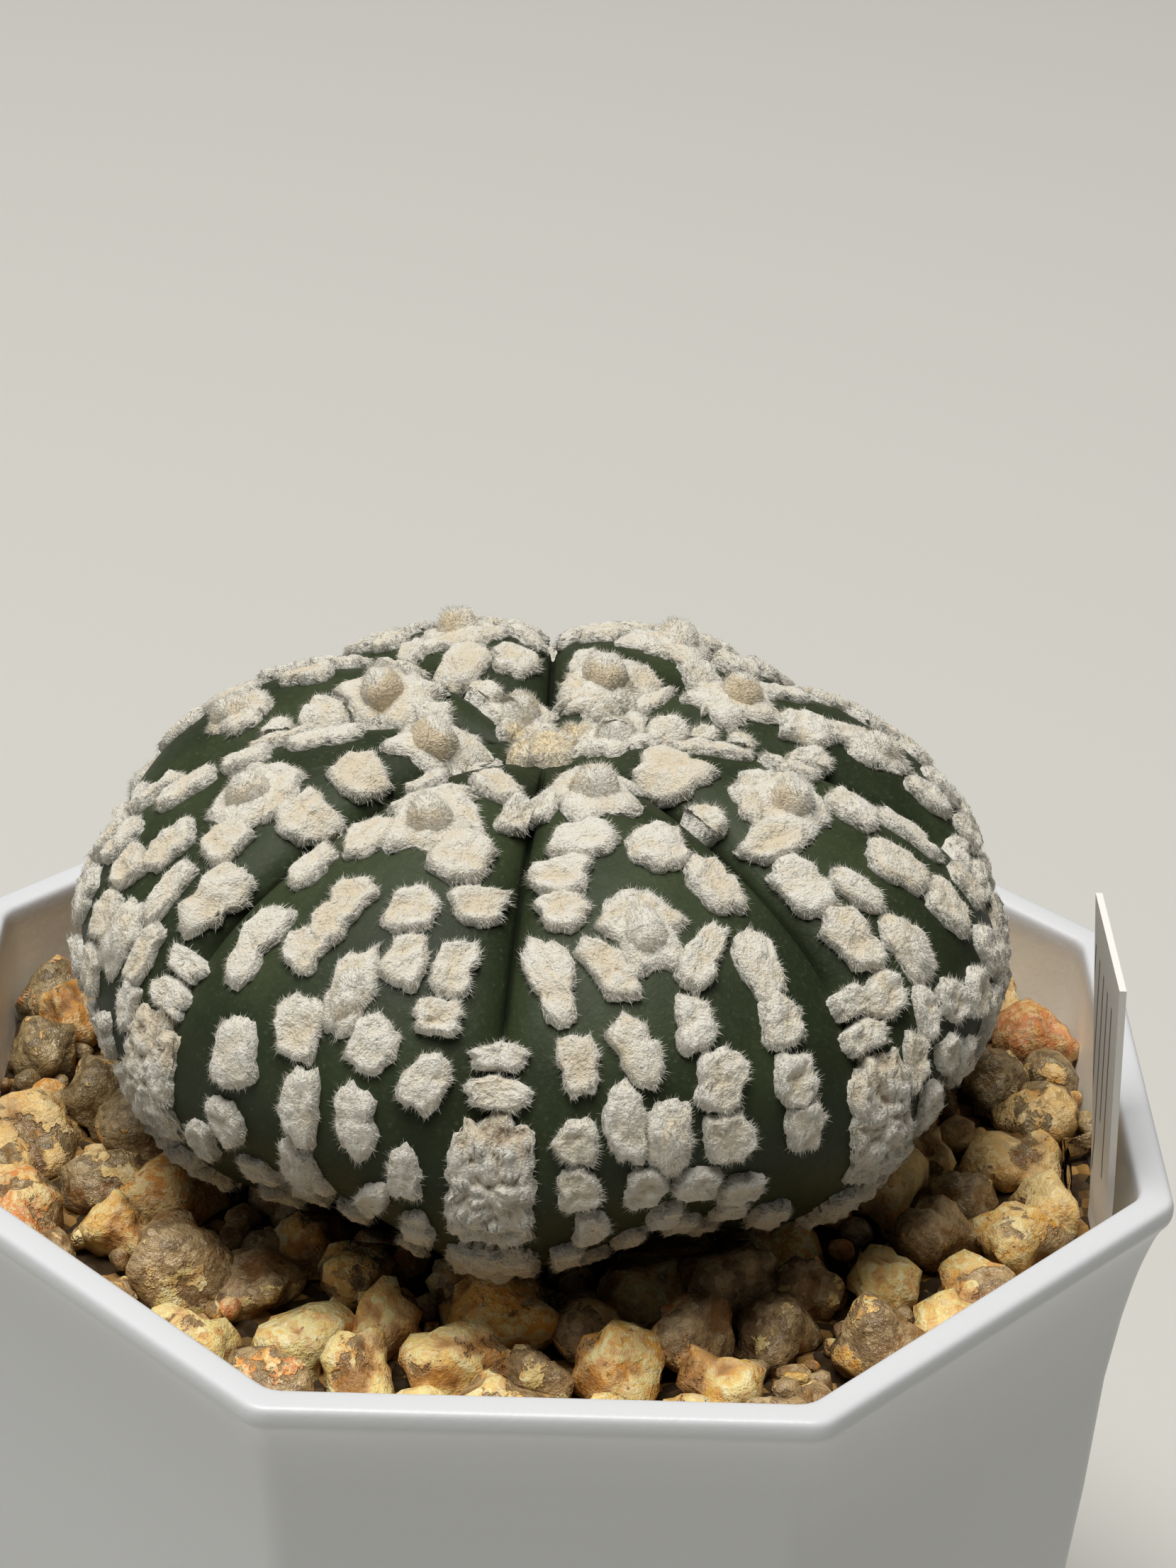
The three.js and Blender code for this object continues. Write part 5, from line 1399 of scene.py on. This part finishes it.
class BuildSkin(bpy.types.Operator):
    """Smooth green body with its ribs and creases."""

    bl_idname = "potted_cactus.skin"
    bl_label = "Skin"

    def execute(self, context):
        looks = looks_of(context)[0]
        # Columns stand close together by the creases, and rows by the crown
        close = np.linspace(0, 1, 17)[:-1] ** 1.9
        shares = np.concatenate([close - 1, [0], 1 - close[1:][::-1]])
        spans = [rib_span(rib) for rib in range(RIBS)]
        azimuths = np.concatenate([middle + half * shares for middle, half in spans])
        arcs = np.concatenate([np.arange(0.3, 12, 0.4), np.arange(12, 62, 0.7), np.arange(62, ROOT_ARC, 1.1)])
        arcs = np.concatenate([arcs, ROOT_ARC + np.linspace(0, ROOT_DEPTH, 6)])
        arc, azimuth = np.meshgrid(arcs, azimuths, indexing="ij")
        across = from_groove(azimuth)[1] * DEG * np.maximum(radius_at(arc), 1)
        cut = smooth(3, 5, arc) * (1 - smooth(30, 33, arc))
        slit = np.exp(-((across / 0.13) ** 2)) * cut
        grid = skin_point(arc, azimuth) - skin_normal(arc, azimuth) * (0.3 * slit)[..., None]
        points, faces = stack_of_rings(list(grid))
        points[-2] = skin_point(0, 0)
        # Painted shade low on the flank, from 30 to 48 mm of arc
        old = np.concatenate([smooth(30, 48, arc).reshape(-1), [0, 1]])
        shade = np.concatenate([(np.exp(-((across / 0.17) ** 2)) * cut).reshape(-1), [0, 0]])
        faces = [tuple(reversed(f)) for f in faces]
        form = points, faces, {"crease": shade, "old": old}
        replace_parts(make_piece("cactus_body", form, skin_finish(looks)), "cactus")
        return {"FINISHED"}


class BuildFlecks(bpy.types.Operator):
    """Felt flecks, the pads round the areoles and the crumbled patches under the creases."""

    bl_idname = "potted_cactus.flecks"
    bl_label = "Felt flecks"

    def execute(self, context):
        looks = looks_of(context)[0]
        finish = felt_finish("cactus_felt", looks, looks.felt_cream)
        meshes = {"front": [], "back": []}
        for kind in ("fleck", "pad", "patch"):
            felt = Felt(kind, looks)
            ahead = np.abs(wrap(felt.azimuth[:, 0])) < 90
            for side, chosen in (("front", ahead), ("back", ~ahead)):
                meshes[side].append(felt_mesh(felt.only(chosen), looks))
        for side, parts in meshes.items():
            make_piece(f"felt_flecks_{side}", joined(parts), finish)
        return {"FINISHED"}


class BuildTufts(bpy.types.Operator):
    """Round felted areoles along the ribs, and the new wool in the dip of the crown."""

    bl_idname = "potted_cactus.tufts"
    bl_label = "Areoles and new wool"

    def execute(self, context):
        looks = looks_of(context)[0]
        tufts = felt_mesh(Felt("tuft", looks), looks)
        make_piece("areole_tufts", tufts, felt_finish("areole_felt", looks, looks.tuft_tan))
        wool = felt_mesh(Felt("wool", looks), looks)
        wool[2]["tone"] = 0.45 + 0.55 * wool[2]["tone"]
        make_piece("crown_wool", wool, felt_finish("new_wool", looks, looks.wool_yellow))
        return {"FINISHED"}


class BuildHairs(bpy.types.Operator):
    """Fine hairs round the edges and over the tops of the felt."""

    bl_idname = "potted_cactus.hairs"
    bl_label = "Felt hairs"

    def execute(self, context):
        looks = looks_of(context)[0]
        finish = felt_finish("felt_hair", looks, looks.felt_cream)
        meshes = {"front": [], "right": [], "back": [], "left": []}
        seed = HAIR_SEED
        for kind, (*_, edge_share, top_share) in FELT_KINDS.items():
            felt = Felt(kind, looks)
            quarter = ((felt.azimuth[:, 0] + 45) % 360 // 90).astype(int)
            counts = round(looks.edge_hairs * edge_share), round(looks.top_hairs * top_share)
            for k, parts in enumerate(meshes.values()):
                group = felt.only(quarter == k)
                for top, each in enumerate(counts):
                    seed += 1
                    if group.count and each:
                        parts.append(hairs_of(group, looks, each, seed, top))
        for side, parts in meshes.items():
            make_piece(f"felt_hairs_{side}", joined(parts), finish, smoothed=False)
        return {"FINISHED"}


class BuildGravel(bpy.types.Operator):
    """Stones at their seeded places, crumbs between them, and the bed that they lie on."""

    bl_idname = "potted_cactus.gravel"
    bl_label = "Gravel"

    def execute(self, context):
        looks = looks_of(context)[1]
        finish = stone_finish("gravel_stone", looks)
        extra = Draw(STONE_SEED + 2)
        relief = looks.grain / MM
        places = make_stone_places()
        stones = joined(make_stones(places, extra, relief, looks.spread))
        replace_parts(make_piece("gravel_stones", stones, finish), "gravel")
        grit = joined(make_grit(places, extra, relief * 0.4, looks.grit_tries))
        make_piece("gravel_grit", grit, finish)
        make_piece("gravel_bed", make_bed(), bed_finish(looks))
        return {"FINISHED"}


class BuildPot(bpy.types.Operator):
    """Eight-sided pot with a rolled rim, thin walls and drainage holes."""

    bl_idname = "potted_cactus.pot"
    bl_label = "Pot"

    def execute(self, context):
        looks = looks_of(context)[2]
        pot = make_piece("pot_shell", make_shell(looks.burr / MM), plastic_finish(looks))
        bore_drains(pot, context)
        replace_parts(pot, "pot")
        return {"FINISHED"}


class DressLabel(bpy.types.Operator):
    """Card finish with plain ruled lines on the label."""

    bl_idname = "potted_cactus.label"
    bl_label = "Label"

    def execute(self, context):
        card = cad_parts["label"]
        for slot in card.material_slots:
            slot.material = card_finish(looks_of(context)[2])
        return {"FINISHED"}


class SetStage(bpy.types.Operator):
    """Pale floor, soft light and the camera."""

    bl_idname = "potted_cactus.stage"
    bl_label = "Stage"

    def execute(self, context):
        looks = looks_of(context)[3]
        scene = context.scene
        set_floor(scene, looks)
        set_lights(scene, looks)
        set_camera(scene)
        scene.view_settings.view_transform = "Standard"
        scene.view_settings.look = "None"
        return {"FINISHED"}


STEPS = (BuildPot, BuildGravel, BuildSkin, BuildFlecks, BuildTufts, BuildHairs, DressLabel, SetStage)


class CactusPanel(bpy.types.Panel):
    """Steps that dress the potted cactus, in their order, over its sizes and colours."""

    bl_idname = "POTTEDCACTUS_PT_steps"
    bl_label = "Potted star cactus"
    bl_space_type = "VIEW_3D"
    bl_region_type = "UI"
    bl_category = "Cactus"

    def draw(self, context):
        for step in STEPS:
            self.layout.operator(step.bl_idname)
        for looks in looks_of(context):
            box = self.layout.box()
            for key in looks.__annotations__:
                box.prop(looks, key)


GROUPS = {
    "cactus_looks": CactusLooks,
    "gravel_looks": GravelLooks,
    "pot_looks": PotLooks,
    "stage_looks": StageLooks,
}


def register():
    for made in (*GROUPS.values(), *STEPS, CactusPanel):
        bpy.utils.register_class(made)
    for key, group in GROUPS.items():
        setattr(bpy.types.Scene, key, PointerProperty(type=group))


def unregister():
    for key in GROUPS:
        delattr(bpy.types.Scene, key)
    for made in reversed((*GROUPS.values(), *STEPS, CactusPanel)):
        bpy.utils.unregister_class(made)


def main():
    register()
    for step in STEPS:
        area, name = step.bl_idname.split(".")
        getattr(getattr(bpy.ops, area), name)()


if __name__ == "__main__":
    main()
